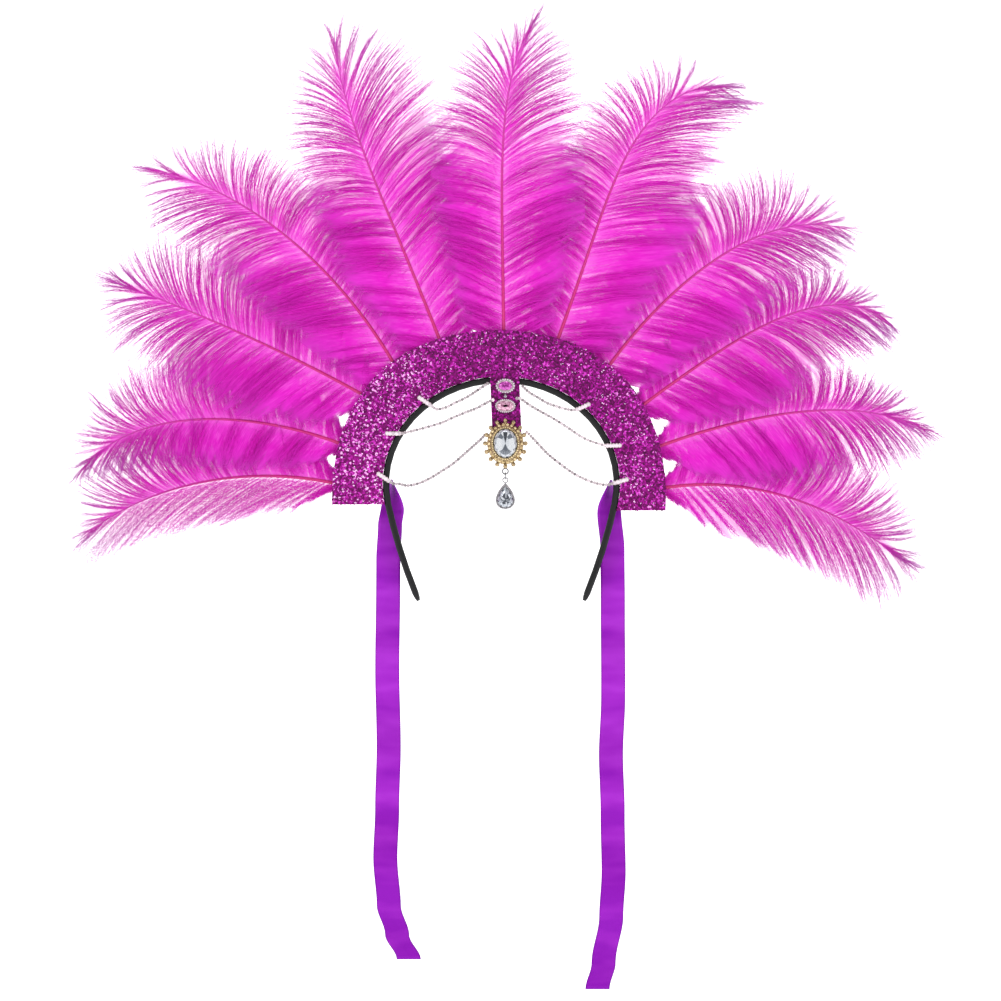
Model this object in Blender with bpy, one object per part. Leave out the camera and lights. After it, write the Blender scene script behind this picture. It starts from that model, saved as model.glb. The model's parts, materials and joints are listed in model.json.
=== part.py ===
"""Carnival feather headdress, modelled in metres with +Z up and the front facing -Y.

The origin is the inner face of the headband at its crown, where it sits on the
head. The headband carries a glitter half ring, the half ring carries a fan of
eleven plumes behind it, and a short tab in front of it carries two small ovals,
the jewel with its hanging drop and six strands of beads. A ribbon hangs from
the inner face of each leg.
"""
import math
from collections import namedtuple

import bmesh
import bpy
from mathutils import Vector

MM = 0.001
CLEAR = 0.3 * MM              # gap left between two pieces that touch

# Headband
BAND_HALF_WIDTH = 67.7 * MM   # inner face, from the middle to the widest place
BAND_RISE = 60.9 * MM         # inner face, from the widest place up to the crown
BAND_THICK = 3.3 * MM
BAND_DEPTH = 9.0 * MM         # front to back
LEG_START = 11.0              # degrees of the oval below its widest place
LEG_RADIUS = 325.0 * MM       # the legs go on from there as long arcs
LEG_REACH = 53.0 * MM         # their height
LEG_TIP = 5.0 * MM            # rounded over this length
LEG_TIP_SHARE = 0.45          # section left at the very tip

# Glitter half ring on the band
PLATE_RADIUS = 100.2 * MM
PLATE_SHOULDER = 3.4 * MM     # fuller between the top and the sides
PLATE_CENTRE_X = -1.4 * MM
PLATE_RISE = 31.5 * MM        # top edge over the band's inner crown
PLATE_THICK = 2.5 * MM
PLATE_LEFT_CUT = 73.2 * MM    # the two ends are cut level, this far down
PLATE_RIGHT_CUT = 76.8 * MM

# Tab that hangs from the half ring, over the band
TAB_WIDTH = 17.5 * MM
TAB_THICK = 2.0 * MM
TAB_TOP = 7.0 * MM
TAB_LENGTH = 50.0 * MM
TAB_X = 1.8 * MM
TAB_LEAN = 2.4                # degrees, its foot towards +X

# Plumes: one fan, centred below the crown
FAN_X = -0.2 * MM
FAN_DROP = 69.3 * MM
FAN_RADIUS = 100.8 * MM       # the vanes start here, at the edge of the half ring
PLUME_LENGTH = 201.0 * MM
PLUME_HALF_WIDTH = 44.0 * MM
QUILL_HIDDEN = 22.0 * MM      # bare quill behind the half ring
QUILL_THICK = 2.2 * MM
SHAFT_TIP_THICK = 0.9 * MM
VANE_EDGE_THICK = 0.7 * MM
PLUME_TIP = 4.0 * MM          # last barbs beyond the shaft
LOCKS = 9                     # locks along each side of a plume
LOCK_NOTCH = 0.78             # barb length between two locks
ROOT_SHARE = 0.50             # width at the root, and the length it widens over
ROOT_LENGTH = 0.17
TIP_START = 0.47              # it narrows from here, in a round
TIP_ROUND = 1.66
TIP_SHARE = 0.06
HOOK_SHARE = 0.74             # widest a vane is inside a bend, over the bend's radius
BARB_ANGLE_BASE = 56.5        # degrees between barb and shaft
BARB_ANGLE_TIP = 43.0
BARB_BEND = 3.2               # degrees less at the tip for each radian of bend towards it
BEND_MOST = 3.0               # radians of bend that count
FAN_PITCH = 6.0               # degrees that a vane turns about its shaft, to overlap
CENTRE_FORWARD = 2.6 * MM     # the centre plume is flat and lies in front
PLATE_PASS = 18.0 * MM        # a vane comes forward only past the half ring, over this
FAN_CURL = 34.0 * MM          # the tips nod forwards by this
CURVE_STEPS = 6               # steps of the shaft's curve from station to station

Plume = namedtuple("Plume", "angle lean sweep hook length left right")
# angle: place in the fan, degrees from +X. lean: turn of the root, sweep and
# hook: turn along the shaft, early and at the tip, degrees. length: share of
# PLUME_LENGTH. left, right: shares of PLUME_HALF_WIDTH.
PLUMES = (
    Plume(174.9, -6.7, 46.1, 9.5, 0.805, 0.78, 0.97),
    Plume(161.3, -2.1, 41.6, 44.9, 0.866, 0.72, 0.91),
    Plume(143.0, 7.8, 10.4, -0.5, 0.876, 1.09, 1.07),
    Plume(128.8, -9.2, 40.0, 16.6, 1.007, 1.13, 0.89),
    Plume(111.2, 0.2, 4.5, -26.7, 1.000, 1.00, 1.35),
    Plume(89.1, 1.6, 1.3, -41.7, 0.967, 0.99, 1.17),
    Plume(70.3, -0.7, 8.2, -114.1, 1.018, 0.86, 1.35),
    Plume(50.7, 3.7, -34.2, -50.7, 0.905, 0.95, 1.08),
    Plume(33.2, 3.7, -9.9, -85.6, 0.866, 0.66, 1.10),
    Plume(18.1, 2.3, -25.3, -33.3, 0.855, 0.65, 1.02),
    Plume(3.7, 4.3, -57.8, 9.4, 0.808, 0.88, 1.03),
)
CENTRE_PLUME = 5              # its row above; the others overlap away from it

# Ornaments on the tab. Each setting is a cup with a stone in it.
PENDANT_X = 2.4 * MM
SEAT_CLEAR = 0.3 * MM
Oval = namedtuple("Oval", "half_width half_height z lobes lobe rim rise wall floor")
# lobes: rays or beads round the rim, lobe: their depth, rim: thickness at the
# edge, rise: height of the wall round the stone, wall: its width, floor: of the seat
UPPER_OVAL = Oval(5.9 * MM, 4.5 * MM, -2.1 * MM, 12, 0.55 * MM, 1.1 * MM, 2.0 * MM,
                  1.5 * MM, 0.9 * MM)
LOWER_OVAL = Oval(6.2 * MM, 4.2 * MM, -14.1 * MM, 14, 0.40 * MM, 1.1 * MM, 2.1 * MM,
                  1.0 * MM, 0.9 * MM)
JEWEL = Oval(13.4 * MM, 15.0 * MM, -36.6 * MM, 16, 1.9 * MM, 1.3 * MM, 4.2 * MM,
             5.2 * MM, 1.8 * MM)
BEZEL = 1.0 * MM              # top of the wall round the jewel's stone
JOIN_BEAD_RADIUS = 1.15 * MM
JOIN_BEAD_Z = -8.2 * MM
STONE_SIDES = 12
TABLE_SHARE = 0.58            # table's size over the stone's
CROWN_HEIGHT = 1.7 * MM       # jewel stone above its wall
SMALL_CROWN_HEIGHT = 0.8 * MM

# Hanging drop: the jewel's loop, a jump ring and the drop's own loop
LOOP_RADIUS = 1.7 * MM        # centre line of the jewel's loop
LOOP_WIRE = 0.4 * MM          # wire radius of both loops
RING_RADIUS = 2.1 * MM
RING_WIRE = 0.35 * MM
DROP_LOOP_RADIUS = 1.5 * MM
DROP_HALF_WIDTH = 5.45 * MM
DROP_LENGTH = 16.0 * MM
DROP_RIM = 1.8 * MM           # thickness of its cup
DROP_WALL = 0.9 * MM
DROP_FLOOR = 0.8 * MM
DROP_CROWN = 1.5 * MM
DROP_SET_BACK = 1.6 * MM      # back of the cup behind the middle of the wire
DROP_SIDES = 16
LINK_SIDES = 14
WIRE_SIDES = 6

# Strands of beads
BEAD_RADIUS = 0.95 * MM
BEAD_PITCH = 3.0 * MM
NECK_RADIUS = 0.38 * MM
END_RADIUS = 1.4 * MM         # the outer end of a strand is thicker
END_NECK = 0.9 * MM
END_LENGTH = 8.5 * MM
BEAD_SIDES = 10
STRAND_BOW = 2.4 * MM         # a strand's middle stands this far in front of its ends

# Routes of the strands, as (x, z) in mm from the outer end on the half ring to
# the inner end at the tab, chosen by hand.
STRAND_ROUTES = {
    "chain_left_upper": [(-49.0, -9.2), (-42.3, -13.8), (-38.7, -16.1), (-33.2, -15.0),
                         (-27.8, -12.3), (-21.8, -9.5), (-17.2, -6.7), (-12.5, -3.5),
                         (-8.2, -0.7)],
    "chain_left_middle": [(-68.4, -30.6), (-60.2, -30.6), (-53.9, -29.3), (-44.7, -26.9),
                          (-35.6, -24.2), (-28.6, -21.0), (-21.8, -18.2), (-14.8, -15.5),
                          (-8.0, -11.8), (-5.2, -10.6)],
    "chain_left_lower": [(-73.6, -54.9), (-65.1, -60.4), (-60.8, -60.9), (-56.2, -61.9),
                         (-49.4, -60.5), (-42.4, -57.3), (-35.6, -53.1), (-28.6, -48.5),
                         (-21.8, -42.6), (-17.2, -38.5), (-12.5, -34.3), (-10.0, -31.6)],
    "chain_right_upper": [(52.2, -13.2), (44.4, -16.5), (38.8, -16.0), (33.0, -14.4),
                          (27.6, -12.5), (22.3, -9.3), (16.9, -6.1), (12.9, -2.4)],
    "chain_right_middle": [(71.0, -37.8), (62.8, -37.9), (59.8, -37.2), (52.8, -35.0),
                           (46.6, -31.8), (39.1, -26.7), (31.4, -21.9), (22.8, -17.1),
                           (16.9, -13.6), (11.5, -9.8), (9.6, -9.6)],
    "chain_right_lower": [(75.2, -58.2), (64.3, -61.2), (58.1, -60.8), (50.6, -58.3),
                          (43.6, -54.8), (36.7, -50.0), (28.6, -43.6), (22.8, -37.7),
                          (16.9, -31.3), (15.4, -30.0)],
}
# Strands whose inner end lies in front of the tab, and not beside or behind it
OVER_TAB = ("chain_left_middle", "chain_right_middle")

# Ribbons
RIBBON_WIDTH = 14.6 * MM
RIBBON_THICK = 1.0 * MM
RIBBON_SEAT = 54.0 * MM       # its top end, below the crown
RIBBON_TWIST = 36.0 * MM      # it turns from the leg's face to the front over this
RIBBON_TOP_Y = 3.4 * MM       # its middle behind the band's middle, at its top end
RIBBON_BEHIND = 6.4 * MM      # and where it hangs
RIBBON_WAVE = 2.6 * MM        # depth of its waves
RIBBON_WAVES = 4.6
RIBBON_STATIONS = 28
LEFT_RIBBON_DROP = 293.0 * MM
RIGHT_RIBBON_DROP = 311.0 * MM
RibbonRow = namedtuple("RibbonRow", "down side")
# down: share of the ribbon's drop. side: share of its width that its middle
# stands out from the leg's inner face, away from the head.
LEFT_RIBBON = (
    RibbonRow(0.00, -0.06), RibbonRow(0.04, -0.10), RibbonRow(0.07, -0.10),
    RibbonRow(0.11, 0.01), RibbonRow(0.18, 0.08), RibbonRow(0.42, 0.12),
    RibbonRow(0.57, 0.06), RibbonRow(0.69, 0.13), RibbonRow(0.79, 0.20),
    RibbonRow(0.89, 0.06), RibbonRow(0.95, -0.28), RibbonRow(1.00, -0.77),
)
RIGHT_RIBBON = (
    RibbonRow(0.00, -0.06), RibbonRow(0.04, -0.12), RibbonRow(0.07, -0.14),
    RibbonRow(0.15, 0.00), RibbonRow(0.26, 0.02), RibbonRow(0.44, 0.03),
    RibbonRow(0.55, -0.06), RibbonRow(0.66, 0.01), RibbonRow(0.77, 0.05),
    RibbonRow(0.86, -0.05), RibbonRow(0.95, -0.36), RibbonRow(1.00, -0.62),
)

# Places that follow from the sizes above
BAND_FRONT = -BAND_DEPTH / 2
PLATE_BACK = BAND_FRONT + PLATE_THICK
PLUME_Y = PLATE_BACK + CLEAR + QUILL_THICK / 2
TAB_FRONT = BAND_FRONT - CLEAR - TAB_THICK
ORNAMENT_BACK = TAB_FRONT - CLEAR
FAN_CENTRE = Vector((FAN_X, 0.0, -FAN_DROP))
LOOP_Y = ORNAMENT_BACK - JEWEL.rim / 2
LOOP_Z = JEWEL.z - JEWEL.half_height - LOOP_RADIUS
RING_TOP_Z = LOOP_Z - LOOP_RADIUS + LOOP_WIRE + RING_WIRE + CLEAR
RING_Z = RING_TOP_Z - RING_RADIUS
DROP_HINGE_Z = RING_Z - RING_RADIUS + RING_WIRE + LOOP_WIRE + CLEAR
DROP_LOOP_Z = DROP_HINGE_Z - DROP_LOOP_RADIUS
DROP_TOP_Z = DROP_LOOP_Z - DROP_LOOP_RADIUS

Finish = namedtuple("Finish", "colour roughness metallic")
FINISHES = {
    "band satin": Finish((0.012, 0.011, 0.013), 0.45, 0.0),
    "glitter": Finish((0.29, 0.01, 0.22), 0.55, 0.0),
    "plume": Finish((0.62, 0.013, 0.40), 0.85, 0.0),
    "gold": Finish((0.72, 0.52, 0.24), 0.25, 1.0),
    "silver": Finish((0.78, 0.76, 0.77), 0.22, 1.0),
    "crystal": Finish((0.86, 0.88, 0.92), 0.05, 0.0),
    "pink stone": Finish((0.85, 0.55, 0.72), 0.08, 0.0),
    "magenta stone": Finish((0.50, 0.02, 0.33), 0.12, 0.0),
    "bead": Finish((0.66, 0.58, 0.64), 0.20, 1.0),
    "ribbon satin": Finish((0.38, 0.02, 0.58), 0.35, 0.0),
}


def clear_scene():
    for obj in list(bpy.data.objects):
        bpy.data.objects.remove(obj, do_unlink=True)


def material(name):
    """A Principled material from the table of finishes, made once."""
    found = bpy.data.materials.get(name)
    if found:
        return found
    finish = FINISHES[name]
    made = bpy.data.materials.new(name)
    made.use_nodes = True
    shader = made.node_tree.nodes["Principled BSDF"]
    shader.inputs["Base Color"].default_value = (*finish.colour, 1.0)
    shader.inputs["Roughness"].default_value = finish.roughness
    shader.inputs["Metallic"].default_value = finish.metallic
    made.diffuse_color = (*finish.colour, 1.0)
    return made


def smoothstep(value):
    value = min(max(value, 0.0), 1.0)
    return value * value * (3.0 - 2.0 * value)


def mix(start, end, share):
    return start + (end - start) * share


def loft(name, rings, finish, sharp_angle=40.0, closed=False):
    """One closed body through rings of equal count, capped by a fan at each end.

    The rings turn anticlockwise as seen from the end of the loft.
    """
    mesh = bpy.data.meshes.new(name)
    body = bmesh.new()
    rows = [[body.verts.new(point) for point in ring] for ring in rings]
    count = len(rows[0])
    pairs = list(zip(rows, rows[1:]))
    if closed:
        pairs.append((rows[-1], rows[0]))
    for low, high in pairs:
        for k in range(count):
            n = (k + 1) % count
            body.faces.new((low[k], low[n], high[n], high[k]))
    if not closed:
        for row, turn in ((rows[0], -1), (rows[-1], 1)):
            middle = body.verts.new(sum((v.co for v in row), Vector()) / count)
            for k in range(count):
                face = (row[k], row[(k + 1) % count], middle)
                body.faces.new(face[::turn])
    bmesh.ops.triangulate(body, faces=body.faces)
    bmesh.ops.recalc_face_normals(body, faces=body.faces)
    body.to_mesh(mesh)
    body.free()
    mesh.shade_smooth()
    mesh.set_sharp_from_angle(angle=math.radians(sharp_angle))
    obj = bpy.data.objects.new(name, mesh)
    obj.data.materials.append(material(finish))
    bpy.context.collection.objects.link(obj)
    return obj


def fuse(target, helper):
    """Join a helper body to the target with a Boolean union."""
    helper.hide_render = True
    helper.display_type = 'WIRE'
    union = target.modifiers.new("fuse " + helper.name, 'BOOLEAN')
    union.operation = 'UNION'
    union.solver = 'EXACT'
    union.object = helper
    return target


# The headband and what follows its curve

def band_curve(arch_steps=28, leg_steps=4):
    """Inner face of the band from the right tip to the left tip, as
    (point, outward normal) pairs in the XZ plane."""
    right = []
    start = math.radians(LEG_START)
    root = Vector((BAND_HALF_WIDTH * math.cos(start), 0.0,
                   -BAND_RISE - BAND_RISE * math.sin(start)))
    turn = math.atan2(BAND_HALF_WIDTH * math.sin(start), BAND_RISE * math.cos(start))
    end_turn = math.asin(math.sin(turn) + LEG_REACH / LEG_RADIUS)
    for step in range(leg_steps, 0, -1):
        angle = mix(turn, end_turn, step / leg_steps)
        shift = Vector((math.cos(angle) - math.cos(turn), 0.0,
                        math.sin(turn) - math.sin(angle))) * LEG_RADIUS
        right.append((root + shift, Vector((math.cos(angle), 0.0, -math.sin(angle)))))
    arch = []
    for step in range(arch_steps + 1):
        angle = mix(-start, math.pi + start, step / arch_steps)
        point = Vector((BAND_HALF_WIDTH * math.cos(angle), 0.0,
                        -BAND_RISE + BAND_RISE * math.sin(angle)))
        normal = Vector((math.cos(angle) / BAND_HALF_WIDTH, 0.0,
                         math.sin(angle) / BAND_RISE)).normalized()
        arch.append((point, normal))
    left = [(Vector((-p.x, 0.0, p.z)), Vector((-n.x, 0.0, n.z))) for p, n in right]
    return right + arch + left[::-1]


def band_section(share):
    """Section of the band as (outward, depth) pairs with rounded corners."""
    thick = BAND_THICK * share
    half = BAND_DEPTH / 2 * share
    round_off = thick * 0.3
    outline = ((0.0, -half + round_off), (round_off, -half), (thick - round_off, -half),
               (thick, -half + round_off), (thick, half - round_off),
               (thick - round_off, half), (round_off, half), (0.0, half - round_off))
    middle = BAND_THICK / 2 * (1.0 - share)
    return [(out + middle, depth) for out, depth in outline]


def make_headband():
    curve = band_curve()
    rings = []
    for point, normal in curve:
        rings.append([point + normal * out + Vector((0.0, depth, 0.0))
                      for out, depth in band_section(1.0)])
    for (point, normal), end in ((curve[0], -1), (curve[-1], 1)):
        away = Vector((normal.z, 0.0, -normal.x)) * -end
        steps = []
        for share in (0.7, 1.0):
            section = band_section(mix(1.0, LEG_TIP_SHARE, share ** 2))
            shift = away * LEG_TIP * share
            steps.append([point + normal * out + shift + Vector((0.0, depth, 0.0))
                          for out, depth in section])
        rings = steps[::-1] + rings if end < 0 else rings + steps
    return loft("headband", rings, "band satin", sharp_angle=50.0)


def plate_outer(angle):
    radius = PLATE_RADIUS + PLATE_SHOULDER * math.sin(2.0 * angle) ** 2
    return Vector((PLATE_CENTRE_X + radius * math.cos(angle), 0.0,
                   PLATE_RISE - PLATE_RADIUS + radius * math.sin(angle)))


def cut_level(points, level):
    """Drop the points of a rising run below a level and end the run on it."""
    above = [k for k, point in enumerate(points) if point.z > -level]
    first = above[0]
    low, high = points[first - 1], points[first]
    share = (-level - low.z) / (high.z - low.z)
    return [low.lerp(high, share)] + points[first:]


def make_plate():
    """Half ring that stands on the band's outer face."""
    inner = [point + normal * (BAND_THICK + CLEAR) for point, normal in band_curve(36, 6)]
    inner = cut_level(inner, PLATE_RIGHT_CUT)
    inner = cut_level(inner[::-1], PLATE_LEFT_CUT)[::-1]
    below = PLATE_RISE - PLATE_RADIUS
    start = math.asin((-PLATE_RIGHT_CUT - below) / PLATE_RADIUS)
    end = math.pi - math.asin((-PLATE_LEFT_CUT - below) / PLATE_RADIUS)
    lengths = [0.0]
    for a, b in zip(inner, inner[1:]):
        lengths.append(lengths[-1] + (b - a).length)
    rings = []
    for point, run in zip(inner, lengths):
        outer = plate_outer(mix(start, end, run / lengths[-1]))
        if run == 0.0:
            outer.z = -PLATE_RIGHT_CUT
        if run == lengths[-1]:
            outer.z = -PLATE_LEFT_CUT
        rings.append([Vector((p.x, y, p.z)) for p, y in
                      ((point, BAND_FRONT), (outer, BAND_FRONT),
                       (outer, PLATE_BACK), (point, PLATE_BACK))])
    return loft("crown_plate", rings, "glitter")


def make_tab():
    down = Vector((math.sin(math.radians(TAB_LEAN)), 0.0, -math.cos(math.radians(TAB_LEAN))))
    across = Vector((-down.z, 0.0, down.x)) * (TAB_WIDTH / 2)
    top = Vector((TAB_X, 0.0, TAB_TOP))
    rings = []
    for y in (TAB_FRONT, TAB_FRONT + TAB_THICK):
        depth = Vector((0.0, y, 0.0))
        rings.append([top - across + depth, top + across + depth,
                      top + down * TAB_LENGTH + across + depth,
                      top + down * TAB_LENGTH - across + depth])
    return loft("centre_tab", rings, "glitter")


# Plumes

def shaft_curve(plume, stations):
    """Points and headings along the shaft, in the plane of the fan."""
    steps = stations * CURVE_STEPS
    step_length = PLUME_LENGTH * plume.length / steps
    place = math.radians(plume.angle)
    point = FAN_CENTRE + Vector((math.cos(place), 0.0, math.sin(place))) * FAN_RADIUS
    run = [(point.copy(), math.radians(plume.angle + plume.lean))]
    for step in range(steps):
        along = (step + 0.5) / steps
        heading = math.radians(plume.angle + plume.lean + plume.sweep * along
                               + plume.hook * along ** 4)
        point = point + Vector((math.cos(heading), 0.0, math.sin(heading))) * step_length
        if (step + 1) % CURVE_STEPS == 0:
            run.append((point.copy(), heading))
    return run


def fan_depth(point, plume, side):
    """Depth of a plume's layer at a place in the fan: the vanes turn about their
    shafts like blades, and all the tips nod forwards together."""
    away = point - FAN_CENTRE
    place = math.radians(plume.angle)
    across = away.z * math.cos(place) - away.x * math.sin(place)
    beyond = max(away.length - FAN_RADIUS, 0.0)
    pitch = side * across * math.tan(math.radians(FAN_PITCH)) if side else -CENTRE_FORWARD
    if pitch < 0.0:
        pitch *= smoothstep(beyond / PLATE_PASS)
    return PLUME_Y + pitch - FAN_CURL * (beyond / PLUME_LENGTH) ** 2


def vane_share(along):
    """Share of the full width: narrow at the root, rounded at the tip."""
    root = mix(ROOT_SHARE, 1.0, smoothstep(along / ROOT_LENGTH))
    tip = max(along - TIP_START, 0.0) / (1.0 - TIP_START)
    return max(root * (1.0 - tip ** TIP_ROUND), TIP_SHARE)


def plume_ring(shaft, left, right, shaft_thick, edge_thick, plume, side):
    """Six points round a plume: left edge, shaft and right edge, front and back."""
    front = []
    back = []
    for point, thick in ((left, edge_thick), (shaft, shaft_thick), (right, edge_thick)):
        depth = fan_depth(point, plume, side)
        front.append(Vector((point.x, depth - thick / 2, point.z)))
        back.append(Vector((point.x, depth + thick / 2, point.z)))
    return front + back[::-1]


def make_plume(row, number):
    plume = PLUMES[row]
    side = (row > CENTRE_PLUME) - (row < CENTRE_PLUME)
    stations = LOCKS * 2
    run = shaft_curve(plume, stations)
    place = math.radians(plume.angle)
    radial = Vector((math.cos(place), 0.0, math.sin(place)))
    across = Vector((-radial.z, 0.0, radial.x)) * (QUILL_THICK / 2)
    rings = []
    for inset in (QUILL_HIDDEN, 3.0 * MM):
        shaft = run[0][0] - radial * inset
        rings.append(plume_ring(shaft, shaft + across, shaft - across, QUILL_THICK,
                                QUILL_THICK * 0.5, plume, side))
    length = PLUME_LENGTH * plume.length
    for k, (shaft, heading) in enumerate(run):
        along = k / stations
        tangent = Vector((math.cos(heading), 0.0, math.sin(heading)))
        normal = Vector((-tangent.z, 0.0, tangent.x))
        bend = math.radians(plume.sweep + 4.0 * plume.hook * along ** 3)
        reach = vane_share(along) * (1.0 if k % 2 else LOCK_NOTCH)
        edges = []
        for hand, share in ((1.0, plume.left), (-1.0, plume.right)):
            tip_angle = BARB_ANGLE_TIP - BARB_BEND * max(min(bend * hand, BEND_MOST), -BEND_MOST)
            sweep = math.radians(mix(BARB_ANGLE_BASE, tip_angle, along))
            width = PLUME_HALF_WIDTH * share * reach
            if bend * hand > 0.0:
                width = min(width, HOOK_SHARE * length / (bend * hand))
            edges.append(shaft + (tangent / math.tan(sweep) + normal * hand) * width)
        rings.append(plume_ring(shaft, edges[0], edges[1],
                                mix(QUILL_THICK, SHAFT_TIP_THICK, along),
                                VANE_EDGE_THICK, plume, side))
    shaft, heading = run[-1]
    tangent = Vector((math.cos(heading), 0.0, math.sin(heading)))
    normal = Vector((-tangent.z, 0.0, tangent.x)) * PLUME_TIP
    reach = PLUME_HALF_WIDTH * TIP_SHARE / math.tan(math.radians(BARB_ANGLE_TIP))
    tip = shaft + tangent * (PLUME_TIP + reach)
    rings.append(plume_ring(tip, tip + normal * 0.3, tip - normal * 0.3,
                            SHAFT_TIP_THICK, VANE_EDGE_THICK, plume, side))
    return loft("plume_%02d" % number, rings, "plume")


# Settings and stones

def oval_outline(half_width, half_height):
    """Function that gives a point of the oval, set in by a distance."""
    def point(turn, inset):
        return ((half_width - inset) * math.cos(turn), (half_height - inset) * math.sin(turn))
    return point


def drop_outline(half_width, length):
    """Teardrop with its point up, at the zero of z, set in by a distance."""
    def point(turn, inset):
        turn = (turn + math.pi / 2) % (2.0 * math.pi)
        wide = half_width - inset
        x = wide * 1.3 * math.sin(turn) * math.sin(turn / 2) ** 1.1
        z = (length / 2 - inset * 1.5) * math.cos(turn) - length / 2 - inset * 0.5
        return (x, z)
    return point


def ring_at(outline, place, count, inset, y, lobe=0.0):
    """A ring of points on an outline. Each second point is set in by the lobe."""
    ring = []
    for k in range(count):
        x, z = outline(2.0 * math.pi * k / count, inset + (lobe if k % 2 else 0.0))
        ring.append(Vector((place.x + x, y, place.z + z)))
    return ring


def make_setting(name, oval, finish, top_width):
    """Cup with lobes round its rim and a flat seat for the stone."""
    outline = oval_outline(oval.half_width, oval.half_height)
    place = Vector((PENDANT_X, 0.0, oval.z))
    count = oval.lobes * 2
    back = ORNAMENT_BACK
    rings = [
        ring_at(outline, place, count, 0.3 * MM, back, oval.lobe),
        ring_at(outline, place, count, 0.0, back - oval.rim * 0.5, oval.lobe),
        ring_at(outline, place, count, 0.3 * MM, back - oval.rim, oval.lobe),
        ring_at(outline, place, count, oval.wall - top_width, back - mix(oval.rim, oval.rise, 0.75)),
        ring_at(outline, place, count, oval.wall - top_width, back - oval.rise),
        ring_at(outline, place, count, oval.wall, back - oval.rise),
        ring_at(outline, place, count, oval.wall, back - oval.floor),
    ]
    return loft(name, rings, finish, sharp_angle=35.0)


def make_stone(name, outline, place, back, wall, floor, rise, crown, finish, sides):
    """Cut stone: flat back on the seat, girdle at the wall's top, crown and table."""
    inset = wall + SEAT_CLEAR
    seat = back - floor - SEAT_CLEAR
    girdle = back - rise
    half = abs(outline(0.0, inset)[0])
    table_inset = inset + half * (1.0 - TABLE_SHARE)
    mid_inset = inset + half * (1.0 - TABLE_SHARE) * 0.45
    rings = [
        ring_at(outline, place, sides, inset + half * 0.25, seat),
        ring_at(outline, place, sides, inset, mix(seat, girdle, 0.7)),
        ring_at(outline, place, sides, inset, girdle),
        ring_at(outline, place, sides, mid_inset, girdle - crown * 0.65),
        ring_at(outline, place, sides, table_inset, girdle - crown),
    ]
    return loft(name, rings, finish, sharp_angle=5.0)


def make_link(name, centre, radius, wire, flat_axis, finish):
    """Round link whose hole looks along the flat axis, 'X' or 'Y'."""
    rings = []
    for k in range(LINK_SIDES):
        turn = 2.0 * math.pi * k / LINK_SIDES
        out = Vector((math.cos(turn), 0.0, math.sin(turn)))
        side = Vector((0.0, 1.0, 0.0))
        if flat_axis == 'X':
            out = Vector((0.0, math.cos(turn), math.sin(turn)))
            side = Vector((1.0, 0.0, 0.0))
        ring = []
        for j in range(WIRE_SIDES):
            swing = 2.0 * math.pi * (j + 0.5) / WIRE_SIDES
            ring.append(centre + out * (radius + wire * math.cos(swing)) + side * wire * math.sin(swing))
        rings.append(ring)
    return loft(name, rings, finish, sharp_angle=70.0, closed=True)


def make_bead(name, centre, radius, finish):
    rings = []
    for polar in (22.0, 57.0, 90.0, 123.0, 158.0):
        y = centre.y - radius * math.cos(math.radians(polar))
        wide = radius * math.sin(math.radians(polar))
        rings.append([Vector((centre.x + wide * math.cos(2.0 * math.pi * k / BEAD_SIDES), y,
                              centre.z + wide * math.sin(2.0 * math.pi * k / BEAD_SIDES)))
                      for k in range(BEAD_SIDES)])
    return loft(name, rings, finish, sharp_angle=60.0)


def make_ornaments():
    """The two ovals, the bead between them and the jewel."""
    for name, oval, stone, metal in (("upper_oval", UPPER_OVAL, "magenta stone", "silver"),
                                     ("lower_oval", LOWER_OVAL, "pink stone", "silver")):
        make_setting(name + "_setting", oval, metal, oval.wall * 0.5)
        make_stone(name + "_stone", oval_outline(oval.half_width, oval.half_height),
                   Vector((PENDANT_X, 0.0, oval.z)), ORNAMENT_BACK, oval.wall, oval.floor,
                   oval.rise, SMALL_CROWN_HEIGHT, stone, STONE_SIDES)
    make_bead("join_bead", Vector((PENDANT_X, ORNAMENT_BACK - JOIN_BEAD_RADIUS, JOIN_BEAD_Z)),
              JOIN_BEAD_RADIUS, "silver")
    setting = make_setting("jewel_setting", JEWEL, "gold", BEZEL)
    loop = make_link("jewel loop", Vector((PENDANT_X, LOOP_Y, LOOP_Z)), LOOP_RADIUS, LOOP_WIRE,
                     'Y', "gold")
    fuse(setting, loop)
    make_stone("jewel_stone", oval_outline(JEWEL.half_width, JEWEL.half_height),
               Vector((PENDANT_X, 0.0, JEWEL.z)), ORNAMENT_BACK, JEWEL.wall, JEWEL.floor,
               JEWEL.rise, CROWN_HEIGHT, "crystal", STONE_SIDES + 4)


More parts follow.
